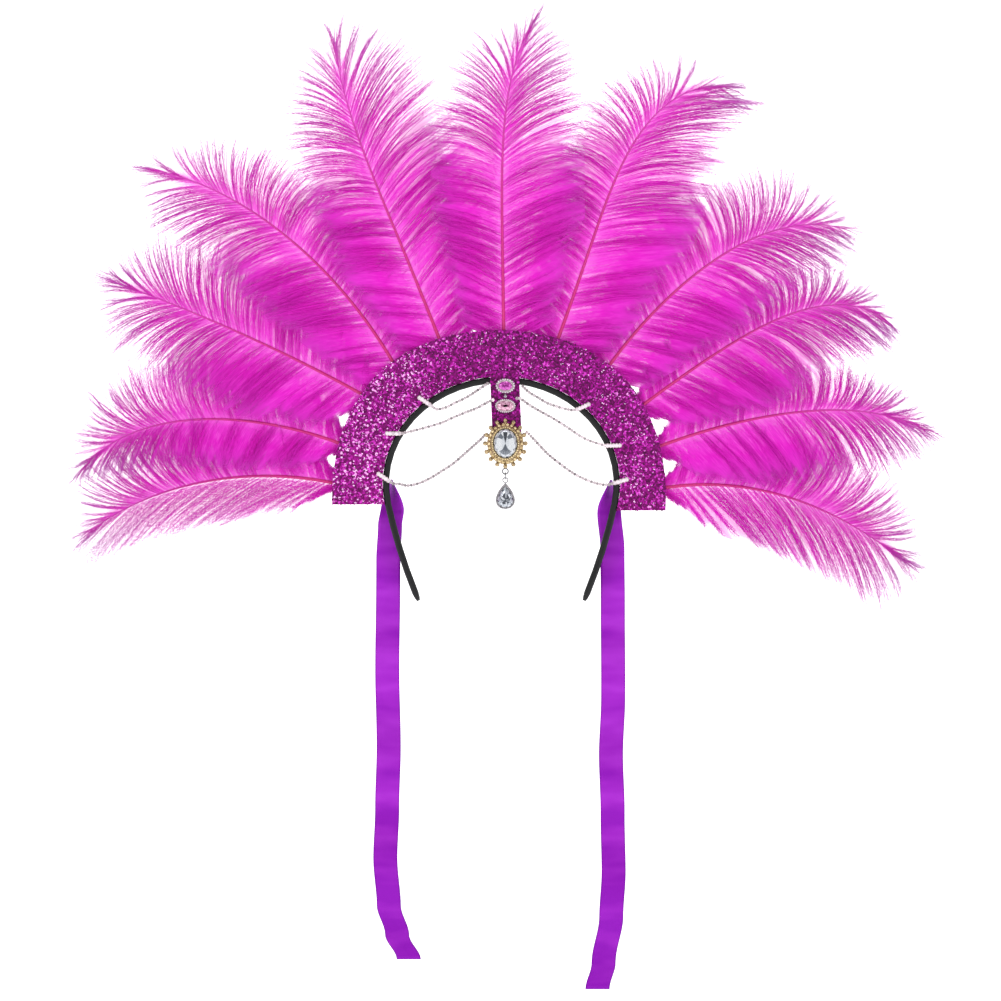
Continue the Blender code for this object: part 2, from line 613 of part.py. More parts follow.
def make_drop():
    """Jump ring and drop, which hang free from the jewel's loop."""
    make_link("jump_ring", Vector((PENDANT_X, LOOP_Y, RING_Z)), RING_RADIUS, RING_WIRE, 'X', "silver")
    outline = drop_outline(DROP_HALF_WIDTH, DROP_LENGTH)
    place = Vector((PENDANT_X, 0.0, DROP_TOP_Z))
    back = LOOP_Y + DROP_SET_BACK
    front = back - DROP_RIM
    setting = loft("drop_setting", [
        ring_at(outline, place, DROP_SIDES, 0.35 * MM, back),
        ring_at(outline, place, DROP_SIDES, 0.0, back - DROP_RIM * 0.4),
        ring_at(outline, place, DROP_SIDES, 0.2 * MM, front),
        ring_at(outline, place, DROP_SIDES, DROP_WALL, front),
        ring_at(outline, place, DROP_SIDES, DROP_WALL, back - DROP_FLOOR),
    ], "silver", sharp_angle=35.0)
    loop = make_link("drop loop", Vector((PENDANT_X, LOOP_Y, DROP_LOOP_Z)), DROP_LOOP_RADIUS,
                     LOOP_WIRE, 'Y', "silver")
    fuse(setting, loop)
    make_stone("drop_stone", outline, place, back, DROP_WALL, DROP_FLOOR, DROP_RIM, DROP_CROWN,
               "crystal", DROP_SIDES)


# Strands of beads

def smooth_route(points, steps=12):
    """Points along a smooth curve through the route's own points."""
    run = []
    padded = [points[0] * 2 - points[1]] + points + [points[-1] * 2 - points[-2]]
    for a, b, c, d in zip(padded, padded[1:], padded[2:], padded[3:]):
        for step in range(steps):
            t = step / steps
            run.append(0.5 * ((2 * b) + (c - a) * t + (2 * a - 5 * b + 4 * c - d) * t ** 2
                              + (3 * b - a - 3 * c + d) * t ** 3))
    return run + [points[-1]]


def at_length(run, lengths, length):
    """Point and direction of a run at a length from its start."""
    length = min(max(length, 0.0), lengths[-1])
    k = max(j for j in range(len(run) - 1) if lengths[j] <= length)
    span = run[k + 1] - run[k]
    share = (length - lengths[k]) / max(span.length, 1e-9)
    return run[k] + span * share, span.normalized()


def strand_depths(name, count):
    """Depth of each route point: on the half ring, over the head, at the tab."""
    outer = BAND_FRONT - CLEAR - END_RADIUS
    inner = (TAB_FRONT if name in OVER_TAB else BAND_FRONT) - CLEAR - BEAD_RADIUS
    depths = []
    for k in range(count):
        share = smoothstep((k - 1) / (count - 2)) if k > 1 else 0.0
        bow = STRAND_BOW * math.sin(math.pi * min(max(k - 1, 0) / (count - 2), 1.0))
        depths.append(mix(outer, inner, share) - bow)
    return depths


def make_strand(name, route):
    depths = strand_depths(name, len(route))
    points = [Vector((x * MM, y, z * MM)) for (x, z), y in zip(route, depths)]
    run = smooth_route(points)
    lengths = [0.0]
    for a, b in zip(run, run[1:]):
        lengths.append(lengths[-1] + (b - a).length)
    beads = max(round(lengths[-1] / BEAD_PITCH), 2)
    pitch = lengths[-1] / beads
    rings = []
    for k in range(2 * beads + 1):
        centre, along = at_length(run, lengths, k * pitch / 2)
        thick = k * pitch / 2 < END_LENGTH
        full = END_RADIUS if thick else BEAD_RADIUS
        neck = END_NECK if thick else NECK_RADIUS
        radius = full if k % 2 else neck
        if k in (0, 2 * beads):
            radius = neck * 0.7
        side = along.cross(Vector((0.0, 1.0, 0.0))).normalized()
        up = side.cross(along)
        rings.append([centre + (side * math.cos(2.0 * math.pi * j / BEAD_SIDES)
                                + up * math.sin(2.0 * math.pi * j / BEAD_SIDES)) * radius
                      for j in range(BEAD_SIDES)])
    return loft(name, rings, "bead", sharp_angle=70.0)


# Ribbons

def table_value(rows, down):
    """Value of the table's second column, eased from row to row."""
    for (a, low), (b, high) in zip(rows, rows[1:]):
        if down <= b:
            return mix(low, high, smoothstep((down - a) / (b - a)))
    return rows[-1][1]


def make_ribbon(name, side, rows, drop):
    """Strip that starts flat on the leg's inner face, turns to the front and hangs."""
    leg = BAND_HALF_WIDTH - CLEAR - RIBBON_THICK / 2
    rings = []
    for k in range(RIBBON_STATIONS + 1):
        down = (k / RIBBON_STATIONS) ** 1.25
        fallen = drop * down
        turn = math.radians(90.0) * (1.0 - smoothstep(fallen / RIBBON_TWIST))
        wave = RIBBON_WAVE * math.sin(2.0 * math.pi * RIBBON_WAVES * down) * smoothstep((down - 0.15) * 5)
        x = side * (leg + RIBBON_WIDTH * table_value(rows, down))
        y = mix(RIBBON_TOP_Y, RIBBON_BEHIND, smoothstep(fallen / RIBBON_TWIST * 1.6)) + wave
        middle = Vector((x, y, -RIBBON_SEAT - fallen))
        width = Vector((side * math.cos(turn), math.sin(turn), 0.0)) * (RIBBON_WIDTH / 2)
        thick = Vector((-side * math.sin(turn), math.cos(turn), 0.0)) * (RIBBON_THICK / 2)
        rings.append([middle - width - thick, middle + width - thick,
                      middle + width + thick, middle - width + thick])
    return loft(name, rings, "ribbon satin", sharp_angle=60.0)


def main():
    clear_scene()
    make_headband()
    make_plate()
    make_tab()
    for row in range(len(PLUMES)):
        make_plume(row, row + 1)
    make_ornaments()
    make_drop()
    for name, route in STRAND_ROUTES.items():
        make_strand(name, route)
    make_ribbon("ribbon_left", -1.0, LEFT_RIBBON, LEFT_RIBBON_DROP)
    make_ribbon("ribbon_right", 1.0, RIGHT_RIBBON, RIGHT_RIBBON_DROP)


main()
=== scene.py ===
# %% [markdown]
# # A carnival feather headdress, piece by piece
# This lesson dresses a finished CAD model of a headdress: eleven dyed plumes on a
# glitter half ring, a black headband, a jewel with a hanging drop, strands of
# stones and two satin ribbons. The CAD model is the frame: it says where each
# piece sits, so nothing here is fitted by eye. It is loaded first.

# %% Load the frame
import json
import math
from collections import namedtuple

import bmesh
import bpy
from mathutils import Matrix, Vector

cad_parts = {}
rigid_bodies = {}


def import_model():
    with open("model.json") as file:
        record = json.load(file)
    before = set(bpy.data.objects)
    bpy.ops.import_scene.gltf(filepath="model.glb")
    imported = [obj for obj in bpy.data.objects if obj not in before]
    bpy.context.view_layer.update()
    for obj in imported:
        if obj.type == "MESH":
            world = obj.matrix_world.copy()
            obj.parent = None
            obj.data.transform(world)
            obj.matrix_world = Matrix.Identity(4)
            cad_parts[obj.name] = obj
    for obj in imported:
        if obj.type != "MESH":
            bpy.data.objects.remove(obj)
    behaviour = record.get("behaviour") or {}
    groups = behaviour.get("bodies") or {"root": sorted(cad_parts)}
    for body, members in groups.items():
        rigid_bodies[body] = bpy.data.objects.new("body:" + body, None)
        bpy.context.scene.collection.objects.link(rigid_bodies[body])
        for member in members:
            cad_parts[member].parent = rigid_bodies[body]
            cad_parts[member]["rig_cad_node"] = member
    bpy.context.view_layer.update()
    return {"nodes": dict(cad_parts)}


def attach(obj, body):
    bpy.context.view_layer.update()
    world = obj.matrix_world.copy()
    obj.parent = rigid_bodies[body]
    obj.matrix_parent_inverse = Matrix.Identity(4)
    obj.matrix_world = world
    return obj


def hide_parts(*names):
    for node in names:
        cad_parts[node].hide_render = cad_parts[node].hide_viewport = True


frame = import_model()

MM = 0.001
scene = bpy.context.scene
scene.view_settings.view_transform = 'Standard'

# %% [markdown]
# ## Two small tools for node trees
# Materials and repeated shapes are both node trees. Laying out nodes by hand is
# long, so a Wire wraps one socket and lets Python's + - * / add the maths nodes,
# and a Board adds any other node: its settings first, then what its sockets get.
# A colour or a vector goes through Vector Math, a number through Math. The nodes
# used most have a short method of their own.

# %% Wire and Board
class Wire:
    """One output socket that can be used in sums with numbers, vectors and wires."""

    def __init__(self, board, socket):
        self.board = board
        self.socket = socket

    def other(self, name):
        return Wire(self.board, self.socket.node.outputs[name])

    def _join(self, operation, first, second):
        def is_vector(item):
            return (item.socket.type in {'VECTOR', 'RGBA'} if isinstance(item, Wire)
                    else isinstance(item, (tuple, Vector)))
        if not is_vector(first) and not is_vector(second):
            return self.board.node("ShaderNodeMath", {"operation": operation},
                                   {0: first, 1: second})
        if operation == 'MULTIPLY' and is_vector(first) != is_vector(second):
            if is_vector(second):
                first, second = second, first
            return self.board.node("ShaderNodeVectorMath", {"operation": 'SCALE'},
                                   {0: first, 3: second})
        return self.board.node("ShaderNodeVectorMath", {"operation": operation},
                               {0: first, 1: second})

    def __add__(self, item):
        return self._join('ADD', self, item)

    def __radd__(self, item):
        return self._join('ADD', item, self)

    def __sub__(self, item):
        return self._join('SUBTRACT', self, item)

    def __rsub__(self, item):
        return self._join('SUBTRACT', item, self)

    def __mul__(self, item):
        return self._join('MULTIPLY', self, item)

    def __rmul__(self, item):
        return self._join('MULTIPLY', item, self)

    def __truediv__(self, item):
        return self._join('DIVIDE', self, item)

    def __rtruediv__(self, item):
        return self._join('DIVIDE', item, self)

    def __pow__(self, item):
        return self._join('POWER', self, item)


class Board:
    """A node tree while it is laid out."""

    def __init__(self, tree):
        self.tree = tree

    def feed(self, socket, value):
        if isinstance(value, Wire):
            self.tree.links.new(value.socket, socket)
        else:
            socket.default_value = value

    def node(self, kind, settings=(), values=(), out=0):
        made = self.tree.nodes.new(kind)
        for key, value in dict(settings).items():
            if key == "stops":
                ramp = made.color_ramp
                while len(ramp.elements) < len(value):
                    ramp.elements.new(1.0)
                for element, (position, colour) in zip(ramp.elements, value):
                    element.position = position
                    element.color = (*colour, 1.0)
            else:
                setattr(made, key, value)
        for key, value in dict(values).items():
            self.feed(made.inputs[key], value)
        return Wire(self, made.outputs[out]) if len(made.outputs) else None

    def maths(self, operation, *values):
        return self.node("ShaderNodeMath", {"operation": operation}, dict(enumerate(values)))

    def between(self, value, low, high, start, end, kind='SMOOTHSTEP'):
        """Carry a value from the range low..high to start..end, eased."""
        return self.node("ShaderNodeMapRange", {"interpolation_type": kind},
                         {"Value": value, "From Min": low, "From Max": high,
                          "To Min": start, "To Max": end})

    def xyz(self, **parts):
        return self.node("ShaderNodeCombineXYZ",
                         values={axis.upper(): value for axis, value in parts.items()})

    def split(self, vector, out="X"):
        return self.node("ShaderNodeSeparateXYZ", values={0: vector}, out=out)

    def normalized(self, vector):
        return self.node("ShaderNodeVectorMath", {"operation": 'NORMALIZE'}, {0: vector})

    def noise(self, vector, scale, **more):
        return self.node("ShaderNodeTexNoise", values={"Vector": vector, "Scale": scale, **more})

    def ramp(self, stops, factor):
        return self.node("ShaderNodeValToRGB", {"stops": stops}, {"Fac": factor})

    def mix(self, factor, first, second):
        return self.node("ShaderNodeMix", {"data_type": 'RGBA'},
                         {0: factor, 6: first, 7: second}, out=2)

    def index(self):
        return self.node("GeometryNodeInputIndex")

    def position(self):
        return self.node("GeometryNodeInputPosition")

    def real(self, geometry):
        return self.node("GeometryNodeRealizeInstances", values={"Geometry": geometry})

    def copies(self, points, instance, **more):
        return self.node("GeometryNodeInstanceOnPoints",
                         values={"Points": points, "Instance": instance, **more})

    def moved(self, geometry, position):
        return self.node("GeometryNodeSetPosition",
                         values={"Geometry": geometry, "Position": position})


print("node tools ready")

# %% [markdown]
# ## Camera and light
# The photograph is taken square on, from far away, against white. One pixel of it
# is 0.6 mm at the headdress, so the view is 600.6 mm wide. A long lens three
# metres away gives that with hardly any perspective. The room is white all round,
# brightest behind and below, and large soft lamps stand on both sides.

# %% Camera
PIXEL = 0.6 * MM
VIEW_WIDTH = 1001 * PIXEL
CAMERA_AWAY = 3.0
VIEW_MIDDLE = Vector((-0.0005, -0.005, -0.0708))

camera_data = bpy.data.cameras.new("camera")
camera_data.lens = camera_data.sensor_width * CAMERA_AWAY / VIEW_WIDTH
camera_data.clip_end = 50.0
camera = bpy.data.objects.new("camera", camera_data)
camera.location = VIEW_MIDDLE + Vector((0.0, -CAMERA_AWAY, 0.0))
camera.rotation_euler = (math.radians(90.0), 0.0, 0.0)
scene.collection.objects.link(camera)
scene.camera = camera
print("lens %.1f mm" % camera_data.lens)

# %% Materials made from a Board
def new_material(name, **constants):
    """A material with one Principled shader. Constants are set on its own sockets."""
    made = bpy.data.materials.new(name)
    made.use_nodes = True
    made.node_tree.nodes.clear()
    board = Board(made.node_tree)
    shader = board.node("ShaderNodeBsdfPrincipled",
                        values={key.replace("_", " "): value for key, value in constants.items()})
    board.node("ShaderNodeOutputMaterial", values={"Surface": shader})
    board.shader = shader.socket.node
    board.material = made
    return board


def attribute(board, name, out="Fac"):
    return board.node("ShaderNodeAttribute", {"attribute_name": name}, out=out)


def object_place(board):
    return board.node("ShaderNodeTexCoord", out="Object")


def finish_with(board, **links):
    for key, value in links.items():
        board.feed(board.shader.inputs[key.replace("_", " ")], value)
    return board.material


def bump(board, height, distance, strength=1.0):
    return board.node("ShaderNodeBump", values={"Height": height, "Distance": distance,
                                                "Strength": strength}, out="Normal")


# %% White room and lamps
ROOM_FRONT, ROOM_BACK = 0.45, 1.65      # strength of the white before and behind the piece


def make_room():
    """White light from all sides, strongest from behind and from below."""
    world = bpy.data.worlds.new("white room")
    world.use_nodes = True
    board = Board(world.node_tree)
    way = board.split(board.node("ShaderNodeTexCoord", out="Generated"), "Y")
    behind = board.between(way, 0.1, 0.5, 0.0, 1.0)
    below = board.between(way.other("Z"), -0.15, 0.05, 1.0, 0.0)
    strength = ROOM_FRONT + (ROOM_BACK - ROOM_FRONT) * board.maths('MAXIMUM', behind, below)
    background = world.node_tree.nodes["Background"]
    background.inputs["Color"].default_value = (1.0, 1.0, 1.0, 1.0)
    board.feed(background.inputs["Strength"], strength)
    return world


def lamp(name, place, aim, size, power):
    data = bpy.data.lights.new(name, 'AREA')
    data.shape = 'SQUARE'
    data.size = size
    data.energy = power
    obj = bpy.data.objects.new(name, data)
    obj.location = place
    obj.rotation_euler = (Vector(aim) - Vector(place)).to_track_quat('-Z', 'Y').to_euler()
    scene.collection.objects.link(obj)
    return obj


lamp("lamp left", (-1.7, -1.9, 1.1), (0.0, 0.0, -0.05), 1.2, 17.0)
lamp("lamp right", (1.8, -1.8, 0.7), (0.0, 0.0, -0.05), 1.2, 12.0)
lamp("lamp above", (0.0, -0.4, 1.9), (0.0, 0.0, 0.0), 1.0, 8.0)
scene.world = make_room()
print("three lamps and a white room")

# %% [markdown]
# ## Growing pieces with Geometry Nodes
# A piece that repeats one small shape many times is grown by a node tree on a
# seed, such as the line of a shaft. The tree has named inputs for its sizes, and
# afterwards the result is kept as a plain mesh, with no modifier left on it.

# %% Grow a piece from a tree
def new_tree(name, inputs):
    tree = bpy.data.node_groups.new(name, 'GeometryNodeTree')
    tree.interface.new_socket("Geometry", in_out='INPUT', socket_type='NodeSocketGeometry')
    for label, kind, value in inputs:
        item = tree.interface.new_socket(label, in_out='INPUT', socket_type='NodeSocket' + kind)
        item.default_value = value
    tree.interface.new_socket("Geometry", in_out='OUTPUT', socket_type='NodeSocketGeometry')
    board = Board(tree)
    start = tree.nodes.new("NodeGroupInput")
    board.given = lambda label: Wire(board, start.outputs[label])
    return board


def seed_line(board):
    return board.node("GeometryNodeMeshToCurve", values={"Mesh": board.given("Geometry")})


def close_tree(board, geometry):
    end = board.tree.nodes.new("NodeGroupOutput")
    board.feed(end.inputs["Geometry"], board.real(geometry))
    return board.tree


def keep(board, geometry, name, value, domain='POINT'):
    """Store a number on each point or face under a name, for later nodes and materials."""
    return board.node("GeometryNodeStoreNamedAttribute",
                      {"data_type": 'FLOAT', "domain": domain},
                      {"Geometry": geometry, "Name": name, "Value": value})


def kept(board, name):
    return board.node("GeometryNodeInputNamedAttribute", {"data_type": 'FLOAT'}, {"Name": name})


def chance(board, low, high, key, salt):
    """A random number between low and high, the same each time for a key and salt."""
    return board.node("FunctionNodeRandomValue", {"data_type": 'FLOAT'},
                      {2: low, 3: high, 7: key, 8: board.given("Seed") + float(salt)}, out=1)


def paint(board, geometry, material):
    return board.node("GeometryNodeSetMaterial", values={"Geometry": geometry,
                                                         "Material": material})


def join(board, *parts):
    joined = board.tree.nodes.new("GeometryNodeJoinGeometry")
    for part in parts:
        board.tree.links.new(part.socket, joined.inputs["Geometry"])
    return Wire(board, joined.outputs["Geometry"])


def grow(name, seed_mesh, tree, values):
    """Run a tree on a seed mesh and keep the result as a plain mesh object."""
    obj = bpy.data.objects.new(name, seed_mesh)
    modifier = obj.modifiers.new("grow", 'NODES')
    modifier.node_group = tree
    for item in tree.interface.items_tree:
        if item.in_out == 'INPUT' and item.name in values:
            modifier[item.identifier] = values[item.name]
    scene.collection.objects.link(obj)
    bpy.context.view_layer.update()
    depsgraph = bpy.context.evaluated_depsgraph_get()
    grown = bpy.data.meshes.new_from_object(obj.evaluated_get(depsgraph),
                                            preserve_all_data_layers=True, depsgraph=depsgraph)
    obj.modifiers.remove(modifier)
    obj.data = grown
    grown.name = name
    grown.calc_loop_triangles()
    print("%s: %d triangles" % (name, len(grown.loop_triangles)))
    return obj


def mesh_object(name, mesh):
    obj = bpy.data.objects.new(name, mesh)
    scene.collection.objects.link(obj)
    return obj


def mesh_of_faces(name, points, faces, material):
    mesh = bpy.data.meshes.new(name)
    mesh.from_pydata([tuple(p) for p in points], [], faces)
    mesh.materials.append(material)
    return mesh


def turn_outwards(mesh):
    body = bmesh.new()
    body.from_mesh(mesh)
    bmesh.ops.recalc_face_normals(body, faces=body.faces)
    body.to_mesh(mesh)
    body.free()


def line_mesh(name, points, closed=False):
    mesh = bpy.data.meshes.new(name)
    edges = [(k, k + 1) for k in range(len(points) - 1)]
    if closed:
        edges.append((len(points) - 1, 0))
    mesh.from_pydata([tuple(p) for p in points], edges, [])
    return mesh


def smoothstep(value):
    value = min(max(value, 0.0), 1.0)
    return value * value * (3.0 - 2.0 * value)


def mix(start, end, share):
    return start + (end - start) * share


# %% [markdown]
# ## The plumes
# An ostrich plume is a springy shaft with long soft barbs on both sides. The
# barbs leave the shaft at a narrow angle, bend over outwards, and cling together
# in locks, and each carries hundreds of tiny barbules that fill the space between
# them with haze. Eleven of them stand in a fan. The table holds each plume's
# place in the fan and the way its shaft bends, as the CAD model has them.

# %% The fan's sizes and table
FAN_CENTRE = Vector((-0.2 * MM, 0.0, -69.3 * MM))
FAN_RADIUS = 100.8 * MM
PLUME_LENGTH = 201.0 * MM
PLUME_HALF_WIDTH = 44.0 * MM
PLUME_Y = -0.6 * MM
QUILL_HIDDEN = 22.0 * MM
QUILL_RADIUS = 1.05 * MM
ROOT_SHARE, ROOT_LENGTH = 0.50, 0.17
TIP_START, TIP_ROUND, TIP_SHARE = 0.47, 1.66, 0.06
HOOK_SHARE = 0.74
BARB_ANGLE_BASE, BARB_ANGLE_TIP = 56.5, 43.0
BARB_BEND, BEND_MOST = 3.2, 3.0
FAN_PITCH = 6.0
CENTRE_FORWARD = 2.6 * MM
PLATE_PASS = 18.0 * MM
FAN_CURL = 34.0 * MM
SHAFT_STEPS = 64

Plume = namedtuple("Plume", "angle lean sweep hook length left right")
PLUMES = (
    Plume(174.9, -6.7, 46.1, 9.5, 0.805, 0.78, 0.97),
    Plume(161.3, -2.1, 41.6, 44.9, 0.866, 0.72, 0.91),
    Plume(143.0, 7.8, 10.4, -0.5, 0.876, 1.09, 1.07),
    Plume(128.8, -9.2, 40.0, 16.6, 1.007, 1.13, 0.89),
    Plume(111.2, 0.2, 4.5, -26.7, 1.000, 1.00, 1.35),
    Plume(89.1, 1.6, 1.3, -41.7, 0.967, 0.99, 1.17),
    Plume(70.3, -0.7, 8.2, -114.1, 1.018, 0.86, 1.35),
    Plume(50.7, 3.7, -34.2, -50.7, 0.905, 0.95, 1.08),
    Plume(33.2, 3.7, -9.9, -85.6, 0.866, 0.66, 1.10),
    Plume(18.1, 2.3, -25.3, -33.3, 0.855, 0.65, 1.02),
    Plume(3.7, 4.3, -57.8, 9.4, 0.808, 0.88, 1.03),
)
CENTRE_PLUME = 5
THINNER = {0: 0.32, 10: 0.68}      # the lower sides of the two lowest plumes are thin

# %% Line of a shaft
def fan_depth(point, plume, side):
    """Depth of a plume's layer: vanes overlap like blades and all tips nod forwards."""
    away = point - FAN_CENTRE
    place = math.radians(plume.angle)
    across = away.z * math.cos(place) - away.x * math.sin(place)
    beyond = max(away.length - FAN_RADIUS, 0.0)
    pitch = side * across * math.tan(math.radians(FAN_PITCH)) if side else -CENTRE_FORWARD
    if pitch < 0.0:
        pitch *= smoothstep(beyond / PLATE_PASS)
    return PLUME_Y + pitch - FAN_CURL * (beyond / PLUME_LENGTH) ** 2


def shaft_line(plume, side):
    """Points of a shaft from the hidden end of its quill to its tip."""
    place = math.radians(plume.angle)
    radial = Vector((math.cos(place), 0.0, math.sin(place)))
    point = FAN_CENTRE + radial * FAN_RADIUS
    points = [point - radial * QUILL_HIDDEN * (1.0 - k / 6) for k in range(6)] + [point]
    step = PLUME_LENGTH * plume.length / SHAFT_STEPS
    for k in range(SHAFT_STEPS):
        along = (k + 0.5) / SHAFT_STEPS
        heading = math.radians(plume.angle + plume.lean + plume.sweep * along
                               + plume.hook * along ** 4)
        point = point + Vector((math.cos(heading), 0.0, math.sin(heading))) * step
        points.append(point)
    return [Vector((p.x, fan_depth(p, plume, side), p.z)) for p in points]


# %% [markdown]
# One barb is a curve with three guides: its root on the shaft, a middle that
# leaves the shaft at a narrow angle, and its end on the plume's outline. The
# tree works this out for any barb number and any share of its length, so the
# same few sums serve the barbs and the barbules that sit on them.

# %% Where a barb runs
BARB_LOCKS = 52
LOCK_GATHER = (0.62, 0.96)    # how far a lock's barbs draw together at their ends
ROOT_GATHER = 0.3             # and at their roots
LOCK_STRAY = 0.35
ROOT_SPAN = 0.93              # the last barbs leave the shaft here and run past its tip
ROOT_BEFORE = 0.06            # the first leave it this far behind the half ring's edge
ROOT_OPEN = 26.0              # and stand this much squarer to the shaft, in degrees
TIP_SPARSE = 0.4              # barbs stand closer at the root than at the tip
ROOT_AHEAD = 1.15             # below the middle the ends fall back, so barbs stand out square
BARB_BOW = (0.10, 0.55)       # how far a barb bends away from the shaft: root, upper half
ROOT_GAP = 0.35               # width of the side plumes' first barbs, which leaves gaps
LEVEL_SIDE = (0.6, 0.85)      # how level a plume lies where that starts and is full
THIN_AHEAD, THIN_LEAN = 1.3, 24.0     # barbs of a thin side trail towards the tip
FAN_OUT = (-1.6, 0.35)        # how far a lock at the tip fans in or out
FAN_FROM = (0.7, 0.94)        # share of the shaft where that starts and is full
END_RANGE = (0.005, 0.975)    # share of the shaft beside which barbs can end
LOCK_REACH, BARB_REACH = (0.86, 1.05), (-0.16, 0.03)
BARB_WAVE = 0.9 * MM
LOCK_LOOSE = 5.0 * MM
BARB_LOOSE = 2.4 * MM


def hand_of(board, number):
    """Side of the shaft that a numbered barb or barbule is on: 1 or -1."""
    return 1.0 - 2.0 * board.maths('MODULO', number, 2.0)


def within(board, value, low, high):
    return board.maths('MAXIMUM', board.maths('MINIMUM', value, high), low)


def thinness(board, hand):
    """How thin a side of the plume is: only the lower side loses barbs."""
    return (1.0 - board.given("Fullness")) * (0.5 - board.given("Side") * hand * 0.5)


def on_shaft(board, shaft, along):
    """Place and flat direction of the shaft at a share of its vaned length."""
    quill = board.given("Quill share")
    sample = board.node("GeometryNodeSampleCurve", {"mode": 'FACTOR'},
                        {"Curves": shaft, "Factor": quill + (1.0 - quill) * along},
                        out="Position")
    flat = (1.0, 0.0, 1.0)
    return sample * flat, board.normalized(sample.other("Tangent") * flat)


def cross_y(board, vector):
    return board.node("ShaderNodeVectorMath", {"operation": 'CROSS_PRODUCT'},
                      {0: vector, 1: (0.0, 1.0, 0.0)})


def layer_depth(board, point):
    """The same depth as fan_depth, in nodes."""
    away = point - tuple(FAN_CENTRE)
    split = board.split(away)
    angle = board.given("Angle")
    across = split.other("Z") * board.maths('COSINE', angle) - split * board.maths('SINE', angle)
    distance = board.node("ShaderNodeVectorMath", {"operation": 'LENGTH'}, {0: away}, out="Value")
    beyond = board.maths('MAXIMUM', distance - FAN_RADIUS, 0.0)
    side = board.given("Side")
    pitch = (side * across * math.tan(math.radians(FAN_PITCH))
             - (1.0 - board.maths('ABSOLUTE', side)) * CENTRE_FORWARD)
    passed = board.between(beyond, 0.0, PLATE_PASS, 0.0, 1.0)
    pitch = board.maths('MAXIMUM', pitch, 0.0) + board.maths('MINIMUM', pitch, 0.0) * passed
    curl = beyond / PLUME_LENGTH
    return PLUME_Y + pitch - FAN_CURL * curl * curl, passed


def barb_line(board, shaft, hand, share, end, reach_share, bow, along, scatter=1.0):
    """Place and direction, both flat, of a point on the barb that leaves at a share."""
    level = board.maths('ABSOLUTE', board.maths('COSINE', board.given("Angle")))
    gap = board.between(level, *LEVEL_SIDE, 1.0, ROOT_GAP)
    root_wide = (board.between(end, 0.0, ROOT_LENGTH, ROOT_SHARE + 0.12, 1.0)
                 * (gap + (1.0 - gap) * board.between(end, 0.0, 0.07, 0.0, 1.0)))
    thin = thinness(board, hand)
    tip = board.maths('MAXIMUM', end - TIP_START, 0.0) / (1.0 - TIP_START)
    reach = board.maths('MAXIMUM', root_wide * (1.0 - tip ** TIP_ROUND), TIP_SHARE + 0.1)
    wide = (board.given("Left width") * (0.5 + hand * 0.5)
            + board.given("Right width") * (0.5 - hand * 0.5))
    bend = (board.given("Sweep") + board.given("Hook") * end * end * end * 4.0) * hand
    limit = board.given("Length") * HOOK_SHARE / board.maths('MAXIMUM', bend, 0.05)
    width = board.maths('MINIMUM', reach * wide * PLUME_HALF_WIDTH, limit) * reach_share

    counted = within(board, bend, -BEND_MOST, BEND_MOST)
    swept = math.radians(BARB_ANGLE_BASE) + end * (
        math.radians(BARB_ANGLE_TIP - BARB_ANGLE_BASE) - math.radians(BARB_BEND) * counted)
    swept = (swept + board.between(end, 0.0, 0.12, math.radians(ROOT_OPEN), 0.0)
             - thin * math.radians(THIN_LEAN))
    rest = 1.0 - share
    root = (share * (ROOT_SPAN + ROOT_BEFORE) - ROOT_BEFORE
            + share * rest * rest * (ROOT_AHEAD - thin * THIN_AHEAD))
    bow = bow + (board.between(share, 0.1, 0.55, *BARB_BOW)
                 * board.between(share, 0.7, 1.0, 1.0, 0.5))
    foot, heading = on_shaft(board, shaft, root)
    over, over_heading = on_shaft(board, shaft, end)
    slope = board.maths('TANGENT', swept)
    goal = over + (over_heading / board.xyz(x=slope, y=1.0, z=slope)
                   + cross_y(board, over_heading) * (scatter * hand)) * width
    span = board.node("ShaderNodeVectorMath", {"operation": 'DISTANCE'},
                      {0: foot, 1: goal}, out="Value")
    leave = board.normalized((goal - foot) * (1.0 / span) + heading * bow)
    bent = foot + leave * span * 0.52
    rest = 1.0 - along
    course = (foot * rest * rest + bent * (2.0 * along * rest) + goal * along * along)
    return course, board.normalized((bent - foot) * rest + (goal - bent) * along)


